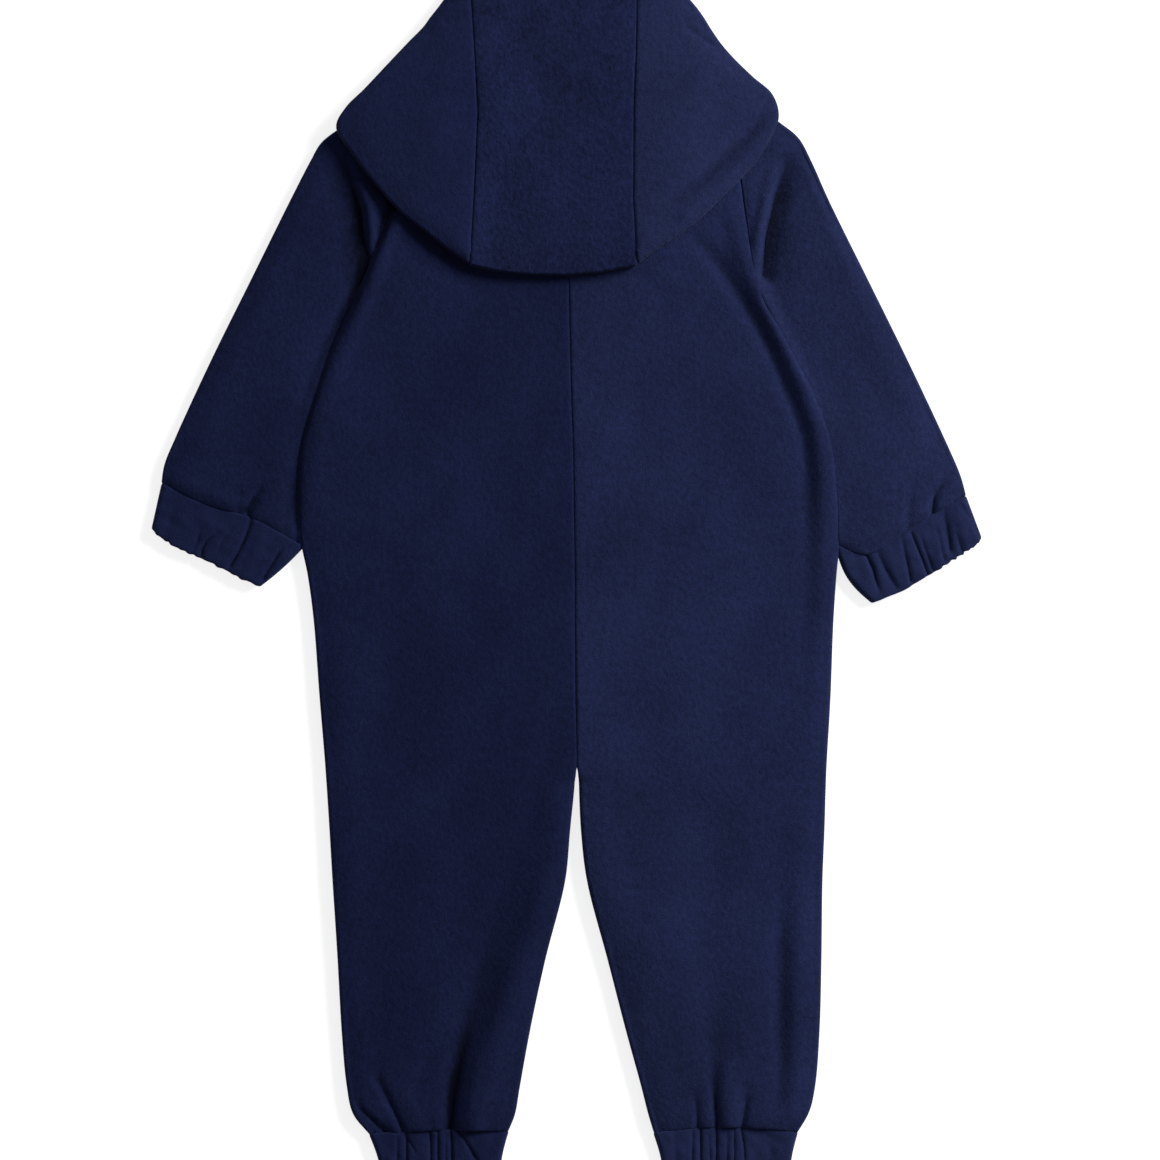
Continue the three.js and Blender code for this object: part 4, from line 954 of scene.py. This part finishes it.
ANKLE_FOLDS_LEFT = {
    "gather 1": [(-99.2, -206.9, -0.5, 1.2), (-99.7, -219.4, -0.9, 1.4), (-100.3, -240, -1, 1.5)],
    "gather 2": [(-94.6, -204.6, -1.6, 1.2), (-94, -219.4, -1.4, 1.2), (-93.5, -240, -1.2, 1.4)],
    "spur of gather 2": [(-93.5, -206.9, -0.9, 1), (-90.1, -212.6, -0.6, 1), (-88.3, -216, -0.1, 1)],
    "gather 3": [(-80.9, -202.9, -1.2, 1.2), (-80.4, -219.4, -1.5, 1.2), (-79.8, -240, -1.3, 1.4)],
    "gather 4": [(-76.4, -202.9, -1, 1), (-76.4, -219.4, -1.3, 1.1), (-75.8, -240, -1.1, 1.3)],
    "gather 5": [(-71.8, -203.5, -0.3, 1), (-71.8, -219.4, -0.6, 1.1), (-71.2, -240, -0.7, 1.3)],
    "gather 6": [(-69, -202.3, -1.6, 1.2), (-68.4, -219.4, -1.6, 1.2), (-67.8, -240, -1.3, 1.4)],
    "slanting gather": [(-64.4, -202.3, -1.3, 1.2), (-54.1, -219.4, -1.4, 1.4), (-49, -240, -1, 1.6)],
    "gather by the outer edge": [
        (-107.2, -213.7, -0.2, 1.6), (-105.4, -226.3, -0.7, 1.6), (-104.3, -240, -0.8, 1.6),
    ],
}
ANKLE_FOLDS_RIGHT = {
    "gather 1": [(58.1, -202.3, -0.2, 2), (59.3, -219.4, -0.6, 2), (59.8, -240, -0.8, 2)],
    "gather 2": [(68.4, -202.3, -0.4, 1.2), (68.4, -219.4, -0.9, 1.2), (69, -240, -0.9, 1.3)],
    "gather 3": [(73, -201.2, -1.5, 1.2), (73, -219.4, -1.6, 1.2), (73.5, -240, -1.3, 1.3)],
    "gather 4": [(77.5, -205.2, -0.2, 1), (78.7, -219.4, -0.6, 1), (78.1, -240, -0.7, 1.2)],
    "gather 5": [(82.1, -200.6, -1.6, 1.2), (82.1, -219.4, -1.5, 1.2), (82.6, -240, -1.2, 1.3)],
    "gather 6": [(88.3, -203.5, -0.3, 1.2), (88.3, -219.4, -0.8, 1.2), (88.3, -240, -0.8, 1.3)],
    "gather 7": [(92.3, -202.3, -0.6, 1), (92.3, -219.4, -1, 1.1), (92.9, -240, -1, 1.3)],
    "gather 8": [(96.3, -201.2, -1.2, 1.1), (98, -213.7, -1, 1.1), (98.6, -240, -1, 1.3)],
    "gather 9": [(112.9, -203.5, -0.1, 2.4), (112.9, -219.4, -0.5, 2.4), (111.7, -240, -0.6, 2.4)],
}
CUFF_TURN = np.radians(np.linspace(-80, 80, 13))
FLUTE = 0.35
FLUTE_PITCH = 6.5


def ankle_seam(rows):
    """The end of a leg, arched as its last row says."""
    edge_x, edge_y, inner_x, inner_y, sag = rows[-1]
    share = np.linspace(0, 1, 9)
    arch = 4 * sag * share * (1 - share)
    return np.stack([mix(edge_x, inner_x, share), mix(edge_y, inner_y, share) - arch], -1)


def cuff(seam, hem, pull, swell, folds, seed):
    """Grid of a cuff: rings from its seam to its hem, gathered on top and in soft flutes below.
    Its ends are drawn in by a pull, and its inner end may swell out beside the body."""
    seam_line = smooth(seam)
    hem_line = smooth(hem)
    ends = np.array([0.0, 1.0])
    width = np.linalg.norm(np.diff(seam_line(ends), axis=0))
    radius = (CUFF_TOP_MID - CUFF_WALL / 2) / 2
    turned = CUFF_WALL / 2 + radius * (1 - np.cos(CUFF_TURN))
    height = (CUFF_TOP_MID + CUFF_WALL / 2) / 2 + radius * np.sin(CUFF_TURN)
    start = CUFF_WALL / 2 + radius
    top_share = np.linspace(0, 1, int(width / CUFF_ACROSS[0]))[1:-1]
    under_share = np.linspace(1, 0, int(width / CUFF_ACROSS[1]))[1:-1]
    away = np.concatenate([
        turned,
        mix(start, width - start, top_share),
        width - turned[::-1],
        mix(start, width - start, under_share),
    ])
    z = np.concatenate([
        height,
        np.full(len(top_share), CUFF_TOP_MID),
        height[::-1],
        np.full(len(under_share), CUFF_WALL / 2),
    ])
    share = away / width
    first = seam_line(share)
    way = hem_line(share) - first
    long = np.linalg.norm(way, axis=1).mean()
    first = first - way * CUFF_LAP / long
    corner = HEM_CORNER * (1 - np.sin(math.pi * share)) ** 5
    shorter = corner + uneven(first[:, 0], first[:, 1], *HEM_WAVES, seed + 3)
    way = way * (1 + (CUFF_LAP - shorter) / long)[:, None]
    down = stations(smooth([(0, 0), (0, long)]), CUFF_STEP)[:, None, None]
    across = np.diff(hem_line(ends), axis=0)[0]
    across /= np.linalg.norm(across)
    waist = pull * np.sin(math.pi * down) * (1 - 2 * share)[:, None]
    bulge = swell * np.sin(math.pi * down) * (share**6)[:, None]
    flat = first + way * down + across * (waist + bulge)
    x, y = flat[..., 0], flat[..., 1]
    z = z * np.ones(x.shape)
    lifted = ease(z, CUFF_WALL, CUFF_TOP_MID)
    gathers = crease(x, y, folds)
    soft = sum(uneven(x, y, *wave, seed + k) for k, wave in enumerate(BAND_WAVES))
    z = z + lifted * np.clip(gathers + soft, DEEPEST_GATHER, HIGHEST_PUFF)
    low = 1 - ease(z, CUFF_WALL / 2, CUFF_WALL)
    flutes = 0.5 + 0.5 * np.sin(2 * math.pi * away / FLUTE_PITCH + uneven(x, y, 1.0, 30, seed + 2))
    z = z + low * FLUTE * flutes
    drawn = np.clip(-gathers, 0, 1.5) * lifted * ease(down[..., 0], 0.6, 1.0)
    inwards = way / np.linalg.norm(way, axis=1, keepdims=True)
    x = x - inwards[:, 0] * drawn * HEM_DRAWN_IN
    y = y - inwards[:, 1] * drawn * HEM_DRAWN_IN
    # the gathers are painted darker, the deeper the darker
    return np.stack([x, y, z, lifted * ease(-gathers, *GATHER_PAINTED_SHADE)], -1)


# the left cuffs are painted in shade and the right ones painted lighter
left_cuff_fleece_painted_shade = fleece("left_cuff_fleece_painted_shade", 0.88, 0.45, 0.4)
right_cuff_fleece_painted_light = fleece("right_cuff_fleece_painted_light", 1.2, 0.45, 0.4)
WRIST_CUT = (150, 36)
ANKLE_CUT = (152, 37)
for name, seam, hem, pull, swell, folds, cut, seed in (
    ("wrist_cuff_left", WRIST_SEAM_LEFT, WRIST_HEM_LEFT, 0, 1, WRIST_FOLDS_LEFT, WRIST_CUT, 11),
    ("wrist_cuff_right", WRIST_SEAM_RIGHT, WRIST_HEM_RIGHT, 0, 4.5, WRIST_FOLDS_RIGHT, WRIST_CUT, 15),
    ("ankle_cuff_left", ankle_seam(BACK_LEFT), ANKLE_HEM_LEFT, 2, 0, ANKLE_FOLDS_LEFT, ANKLE_CUT, 19),
    ("ankle_cuff_right", ankle_seam(BACK_RIGHT), ANKLE_HEM_RIGHT, 2, 0, ANKLE_FOLDS_RIGHT, ANKLE_CUT, 23),
):
    grid = cuff(seam, hem, pull, swell, folds, seed)
    material = left_cuff_fleece_painted_shade if name.endswith("left") else right_cuff_fleece_painted_light
    cloth(name, grid, CUFF_WALL, CUFF_ROUND, material, True)

# Hood: a centre strip between two sides, folded down over the back, so its crown lies towards the ankles.
# The strip comes up from the nape underneath, rolls over at its lower edge and runs to the face opening.
HOOD_UNDER_MID = 9.8
HOOD_TOP_MID = 13.8
LIP_MID = 7.4
HOOD_SINKS_FROM_Y = 395
HOOD_SUNK_Y = 450
HOOD_PILLOW = 0.9
HOOD_TURN_WIDTH = 0.7
# painted shade on the hidden layers under the hood's rolled edges
ROLL_PAINTED_SHADE = 0.9
HOOD_EDGE_FALL = 0.5
HOOD_FALL_WIDTH = 15
HOOD_FALL_FADES = (1.2, 9.8)
# angles of the roll over which its painted shade fades in
ROLL_PAINTED_SHADE_ANGLES = (-1.45, -0.7)
PILLOW_GROWS = 20
STRIP_WIDTH = 95
STRIP_UNDER_ROWS = 33
STRIP_TURNS_UP = 10.5
HOOD_ACROSS_STEP = 1.6
STRIP_STEP = 1.7
STRIP_SEAM_LEFT = np.array([
    (-58.1, 280.0), (-58.1, 292.4), (-55.9, 327.8), (-53.6, 376.2), (-55.3, 407.5), (-57.6, 441.7),
    (-55.9, 470.0),
])
STRIP_SEAM_RIGHT = np.array([
    (37.0, 280.0), (37.0, 291.8), (34.8, 327.8), (35.3, 384.7), (36.5, 414.4), (37.0, 441.7),
    (38.8, 470.0),
])
STRIP_UNDER_LEFT = np.array([(-58.1, 280.0), (-58.1, 298.1), (-57.0, 319.2), (-57.0, 390.4), (-58.1, 420.0)])
STRIP_UNDER_RIGHT = np.array([(37.0, 280.0), (37.0, 298.1), (35.9, 319.2), (35.3, 390.4), (36.5, 420.0)])
# share across, and the heights of the roll, the neck seam and the face edge
STRIP_ACROSS = np.array([
    [0, 289.8, 405.3, 461.1],
    [0.17, 286.0, 405.0, 464.5],
    [0.33, 284.4, 404.6, 466.4],
    [0.55, 283.8, 404.2, 467.4],
    [0.77, 285.2, 404.6, 467.2],
    [1, 289.4, 405.3, 465.7],
])
# the broad hollow behind the crown lowers the strip a little and paints its upper part darker in shade
STRIP_FOLDS = {
    "crease over the crown": [(-58.1, 431.5, -0.6, 2), (-50.2, 433.2, -0.7, 2), (-41, 434.3, -0.2, 2)],
    "hollow behind the crown": [(-26, 424, -1.3, 24), (-8, 400, -1.4, 24), (10, 378, -1, 20)],
    "dent, upper": [(-29.6, 356.2, -0.1, 5), (-13.7, 351.7, -0.5, 5), (-1.1, 356.2, -0.1, 5)],
    "dent, lower": [(-15.4, 324.9, -0.2, 8), (4.6, 333.4, -0.5, 9), (22.8, 342, -0.1, 8)],
}
HOOD_FOLDS_LEFT = {
    "crease over the crown": [(-71.8, 427.5, -0.7, 2), (-61.6, 430.3, -1.1, 2), (-57, 431.5, -0.9, 2)],
    "soft crown": [(-86.6, 379, 0.6, 18), (-80.9, 350.5, 0.6, 18)],
    "kink in the outline": [(-86.6, 422.4, -0.9, 4), (-77.5, 418.9, -0.4, 4)],
}
HOOD_FOLDS_RIGHT = {
    "groove inside the rolled edge": [
        (112, 379, -0.6, 5), (104, 366, -1.6, 5.5), (91, 352.5, -2, 5.5), (76, 338.5, -2, 6),
        (62, 326.5, -1.5, 6.5), (50, 316, -0.7, 7),
    ],
    "roll along the diagonal": [
        (112, 363, 0.9, 4), (99.5, 349.5, 1.2, 4.5), (83, 334, 1.2, 4.5), (64.5, 318.5, 0.9, 4.5),
    ],
    "thin edge of the layer below": [
        (65, 424.6, -0.7, 1.6), (76.4, 416.7, -1, 1.6), (86.6, 409.8, -0.5, 1.6),
    ],
    "soft crown": [(73, 390.4, 0.6, 18), (64, 366, 0.7, 18)],
}
STRIP_TURN = np.radians(np.linspace(-84, 84, 15))


def hood_top(y):
    """Middle of the hood's upper layer, which sinks towards the face edge beyond the shoulders."""
    return mix(HOOD_TOP_MID, LIP_MID, ease(y, HOOD_SINKS_FROM_Y, HOOD_SUNK_Y))


def rolled_painted_shade(angle):
    """How much painted shade the roll gets at an angle from level: its underside lies in the shade of the
    layer above.
    """
    return ROLL_PAINTED_SHADE * ease(-angle, *ROLL_PAINTED_SHADE_ANGLES)


def edge_fall(from_edge):
    """How far the hood's upper layer has fallen at a distance from its rolled edge."""
    return HOOD_EDGE_FALL * (1 - np.clip(from_edge / HOOD_FALL_WIDTH, 0, 1)) ** 2


def seam_x(seam, y):
    return np.interp(y, seam[:, 1], seam[:, 0])


def strip():
    """Grid of the centre strip: from the neck seam down, round the roll, and up to the face edge."""
    share = stations(smooth([(0, 0), (STRIP_WIDTH, 0)]), HOOD_ACROSS_STEP)
    bottom, neck, lip = (np.interp(share, STRIP_ACROSS[:, 0], STRIP_ACROSS[:, k]) for k in (1, 2, 3))
    edge_top = HOOD_TOP_MID - HOOD_EDGE_FALL
    radius = (edge_top - HOOD_UNDER_MID) / 2
    reach = FLEECE_WALL / 2 + HOOD_TURN_WIDTH
    under_y = mix(neck, bottom + reach, np.linspace(0, 1, STRIP_UNDER_ROWS, endpoint=False)[:, None])
    turn_y = bottom + reach - HOOD_TURN_WIDTH * np.cos(STRIP_TURN)[:, None]
    length = (lip - bottom - reach).mean()
    top_share = stations(smooth([(0, 0), (length, 0)]), STRIP_STEP)[1:, None]
    top_y = mix(bottom + reach, lip, top_share)
    y = np.vstack([under_y, turn_y, top_y])
    is_under = np.arange(len(y))[:, None] < len(under_y)
    left = np.where(is_under, seam_x(STRIP_UNDER_LEFT, y), seam_x(STRIP_SEAM_LEFT, y))
    right = np.where(is_under, seam_x(STRIP_UNDER_RIGHT, y), seam_x(STRIP_SEAM_RIGHT, y))
    x = mix(left + SEAM_GAP, right - SEAM_GAP, share)
    turn_z = (HOOD_UNDER_MID + edge_top) / 2 + radius * np.sin(STRIP_TURN)[:, None]
    top_z = hood_top(top_y) - edge_fall(top_y - bottom - reach)
    z = np.vstack([np.full(under_y.shape, HOOD_UNDER_MID), turn_z * np.ones(len(share)), top_z])
    pillow = HOOD_PILLOW * (1 - (2 * share - 1) ** 2) * ease(y, bottom, bottom + PILLOW_GROWS)
    turns_up = ease(turn_z, STRIP_TURNS_UP, edge_top) * np.ones(len(share))
    upper = np.vstack([np.zeros(under_y.shape), turns_up, np.ones(top_y.shape)])
    lift, painted_shade = relief(x, y, STRIP_FOLDS)
    z = z + upper * (lift + pillow)
    painted_shade = upper * painted_shade
    # the layer under the strip's roll is painted in shade, and the roll is painted darker towards its
    # underside
    painted_shade[:len(under_y)] = ROLL_PAINTED_SHADE
    painted_shade[len(under_y):len(under_y) + len(STRIP_TURN)] += rolled_painted_shade(STRIP_TURN)[:, None]
    return np.stack([x, y, z, painted_shade], -1)


# strip seam y; fold x, y; hidden edge x, y; height of the layer below at the fold and at that edge
HOOD_LEFT = np.array([
    [298.1, -58.3, 290.2, -58.3, 298.1, 9.8, 9.8],
    [303.2, -70.7, 299.2, -57.9, 304.9, 9.8, 9.8],
    [313.5, -85.5, 311.2, -57.3, 319.2, 9.8, 9.8],
    [324.9, -98.0, 320.9, -57.3, 339.1, 9.8, 9.8],
    [336.3, -107.2, 330.6, -57.3, 356.2, 9.8, 9.8],
    [347.7, -116.3, 341.4, -57.3, 373.3, 9.8, 9.8],
    [359.1, -125.4, 354.0, -57.3, 390.4, 9.8, 9.8],
    [368.8, -134.0, 368.0, -58.4, 405.3, 9.8, 9.8],
    [377.9, -128.8, 378.5, -66.1, 407.5, 9.8, 9.8],
    [387.0, -118.6, 388.7, -70.7, 408.7, 9.8, 9.8],
    [397.3, -104.3, 404.1, -74.7, 411.0, 9.8, 9.8],
    [406.4, -92.3, 417.2, -77.5, 414.5, 9.2, 9.4],
    [414.4, -84.4, 425.8, -76.5, 416.0, 5.0, 5.4],
    [422.4, -80.9, 430.9, -69.0, 407.0, 1.2, 1.6],
    [430.3, -76.9, 436.0, -67.0, 387.6, 1.2, 1.2],
    [437.2, -73.5, 440.6, -46.7, 376.3, 1.2, 1.2],
    [440.6, -71.8, 442.9, -27.0, 370.1, 1.2, 1.2],
    [444.0, -70.1, 445.2, -7.3, 368.0, 1.2, 1.2],
    [453.1, -66.7, 449.7, -7.5, 393.3, 1.2, 1.2],
    [461.1, -62.7, 454.3, -7.8, 420.1, 1.2, 1.2],
])
HOOD_RIGHT = np.array([
    [298.1, 37.2, 290.4, 37.2, 298.1, 9.8, 9.8],
    [303.2, 50.0, 300.4, 36.8, 304.9, 9.8, 9.8],
    [313.5, 62.5, 308.8, 36.2, 319.2, 9.8, 9.8],
    [324.9, 74.5, 318.0, 35.6, 339.1, 9.8, 9.8],
    [336.3, 85.5, 329.0, 35.6, 356.2, 9.8, 9.8],
    [347.7, 96.0, 339.2, 35.6, 373.3, 9.8, 9.8],
    [359.1, 106.5, 351.3, 35.6, 390.4, 9.8, 9.8],
    [368.8, 117.4, 373.0, 36.8, 405.3, 9.8, 9.8],
    [377.9, 114.2, 385.9, 57.0, 407.5, 9.8, 9.8],
    [387.0, 103.5, 395.6, 62.7, 408.7, 9.8, 9.8],
    [397.3, 93.5, 405.3, 66.5, 413.1, 9.8, 9.8],
    [406.4, 85.5, 414.4, 69.0, 418.1, 9.2, 9.4],
    [414.4, 79.2, 424.1, 68.0, 419.8, 5.0, 5.4],
    [422.4, 75.2, 430.9, 64.5, 409.5, 1.2, 1.6],
    [430.3, 71.2, 436.6, 67.0, 387.2, 1.2, 1.2],
    [438.3, 67.3, 441.2, 44.5, 376.0, 1.2, 1.2],
    [442.3, 65.3, 443.8, 23.0, 369.9, 1.2, 1.2],
    [446.3, 63.3, 446.3, 3.2, 368.0, 1.2, 1.2],
    [456.0, 58.1, 452.6, 2.7, 393.3, 1.2, 1.2],
    [465.7, 52.4, 458.8, 2.4, 420.1, 1.2, 1.2],
])
HOOD_TURN = np.radians(np.linspace(84, -84, 15))
HOOD_STEP = 1.9
HOOD_SIDE_WIDTH = 60
HOOD_UNDER_POINTS = 22
# the folds are lower by this share at the rolled edge, from this share of the way across
FOLDS_LOWER = 0.6
FOLDS_LOWER_FROM = 0.86
TURNED_OVER = 1.4


def hood_side(rows, seam, folds):
    """Grid of a side: over from the strip's seam, round the outline, and back under."""
    side = np.sign(rows[0, 1])
    fold_line = smooth(rows[:, 1:3])
    t = stations(fold_line, HOOD_STEP)
    places = np.arange(len(rows)) / (len(rows) - 1)
    seam_y, end_x, end_y, fold_z, end_z = (np.interp(t, places, rows[:, k]) for k in (0, 3, 4, 5, 6))
    start = np.stack([seam_x(seam, seam_y) + side * SEAM_GAP / 2, seam_y], -1)
    fold = fold_line(t)
    end = np.stack([end_x, end_y], -1)

    def direction(a, b):
        way = b - a
        return way / np.maximum(np.linalg.norm(way, axis=1, keepdims=True), 1e-6)

    outwards = direction(start, fold)
    back = direction(end, fold)
    fall_here = HOOD_EDGE_FALL * ease(fold_z, *HOOD_FALL_FADES)
    top_z = hood_top(fold[:, 1]) - fall_here
    turn_width = np.minimum((top_z - fold_z) / 2, HOOD_TURN_WIDTH)
    reach = (FLEECE_WALL / 2 + turn_width)[:, None]
    last_top = fold - outwards * reach
    top_share = stations(smooth([(0, 0), (HOOD_SIDE_WIDTH, 0)]), HOOD_ACROSS_STEP)[:-4]
    top_share = top_share / top_share[-1]
    top = mix(start[:, None, :], last_top[:, None, :], top_share[:, None])
    pillow = HOOD_PILLOW * np.sin(math.pi * np.clip(top_share, 0, 1)) ** 0.7
    lift, painted_shade = relief(top[..., 0], top[..., 1], folds)
    lift += pillow
    lift *= 1 - ease(top_share, FOLDS_LOWER_FROM, 1.0) * FOLDS_LOWER
    from_edge = np.linalg.norm(last_top - start, axis=1)[:, None] * (1 - top_share)
    lift -= edge_fall(from_edge) * (fall_here / HOOD_EDGE_FALL)[:, None]
    top = np.concatenate([top, (hood_top(top[..., 1]) + lift)[..., None]], -1)
    turned = []
    for angle in HOOD_TURN:
        way = mix(outwards, back, (math.pi / 2 - angle) / math.pi)
        way /= np.linalg.norm(way, axis=1, keepdims=True)
        flat = fold - way * (FLEECE_WALL / 2 + turn_width * (1 - math.cos(angle)))[:, None]
        z = (top_z + fold_z) / 2 + (top_z - fold_z) / 2 * math.sin(angle)
        turned.append(np.column_stack([flat, z + (lift[:, -1] + fall_here) * ease(angle, 0, TURNED_OVER)]))
    first_under = fold - back * reach
    under_share = np.linspace(0, 1, HOOD_UNDER_POINTS)
    under = mix(first_under[:, None, :], end[:, None, :], under_share[:, None])
    under_z = mix(fold_z[:, None], end_z[:, None], under_share)
    under = np.concatenate([under, under_z[..., None]], -1)
    grid = np.concatenate([top, np.stack(turned, 1), under], 1)
    # the side's roll and the layer under it are painted in shade; its folds add their own painted shade
    rolled = np.concatenate([rolled_painted_shade(HOOD_TURN), np.ones(len(under_share)) * ROLL_PAINTED_SHADE])
    painted_shade = np.hstack([painted_shade, np.tile(rolled, (len(grid), 1))])
    return np.concatenate([grid, painted_shade[..., None]], -1)


# the strip is painted a little darker, the left side painted in shade and the right side painted lighter
strip_fleece_painted_shade = fleece("strip_fleece_painted_shade", 0.92, 1.5, 1.5)
left_hood_fleece_painted_shade = fleece("left_hood_fleece_painted_shade", 0.82, 0.8, 0.9)
right_hood_fleece_painted_light = fleece("right_hood_fleece_painted_light", 1.3, 0.8, 0.9)
grid = strip()
cloth("hood_centre", grid, FLEECE_WALL, SEAM_ROUND, strip_fleece_painted_shade)
for name, rows, seam, folds, material in (
    ("hood_left", HOOD_LEFT, STRIP_SEAM_LEFT, HOOD_FOLDS_LEFT, left_hood_fleece_painted_shade),
    ("hood_right", HOOD_RIGHT, STRIP_SEAM_RIGHT, HOOD_FOLDS_RIGHT, right_hood_fleece_painted_light),
):
    grid = hood_side(rows, seam, folds)
    cloth(name, grid, FLEECE_WALL, SEAM_ROUND, material)

# Table and light: a plain white table top, a wide soft lamp up to the right of the hood and white walls.
TABLE_SIZE = 6.0
TABLE_DROP = 0.0004
bpy.ops.mesh.primitive_plane_add(size=TABLE_SIZE, location=(0, 0, -TABLE_DROP))
table = bpy.context.object
table.name = "table"
table_make = Nodes("table_top")
table_make.shader.inputs["Base Color"].default_value = (0.46, 0.46, 0.46, 1)
table_make.shader.inputs["Roughness"].default_value = 0.9
table_make.shader.inputs["Emission Color"].default_value = (1, 1, 1, 1)
table_make.shader.inputs["Emission Strength"].default_value = 0.78
table.data.materials.append(table_make.material)

world = bpy.data.worlds.new("walls")
world.use_nodes = True
world.node_tree.nodes["Background"].inputs["Color"].default_value = (1, 1, 1, 1)
world.node_tree.nodes["Background"].inputs["Strength"].default_value = 0.28
scene.world = world
scene.view_settings.view_transform = "Standard"

LAMP_AWAY = 3.2
LAMP_ROUND = math.radians(32)
LAMP_HIGH = math.radians(28)
LAMP_AT = (
    LAMP_AWAY * math.cos(LAMP_HIGH) * math.cos(LAMP_ROUND),
    LAMP_AWAY * math.cos(LAMP_HIGH) * math.sin(LAMP_ROUND),
    LAMP_AWAY * math.sin(LAMP_HIGH),
)
LAMP_SIZE = 1.3
LAMP_WATTS = 158
lamp_data = bpy.data.lights.new("lamp", "AREA")
lamp_data.size = LAMP_SIZE
lamp_data.energy = LAMP_WATTS
lamp = bpy.data.objects.new("lamp", lamp_data)
lamp.location = LAMP_AT
lamp.rotation_euler = (-lamp.location.normalized()).to_track_quat("-Z", "Y").to_euler()
scene.collection.objects.link(lamp)
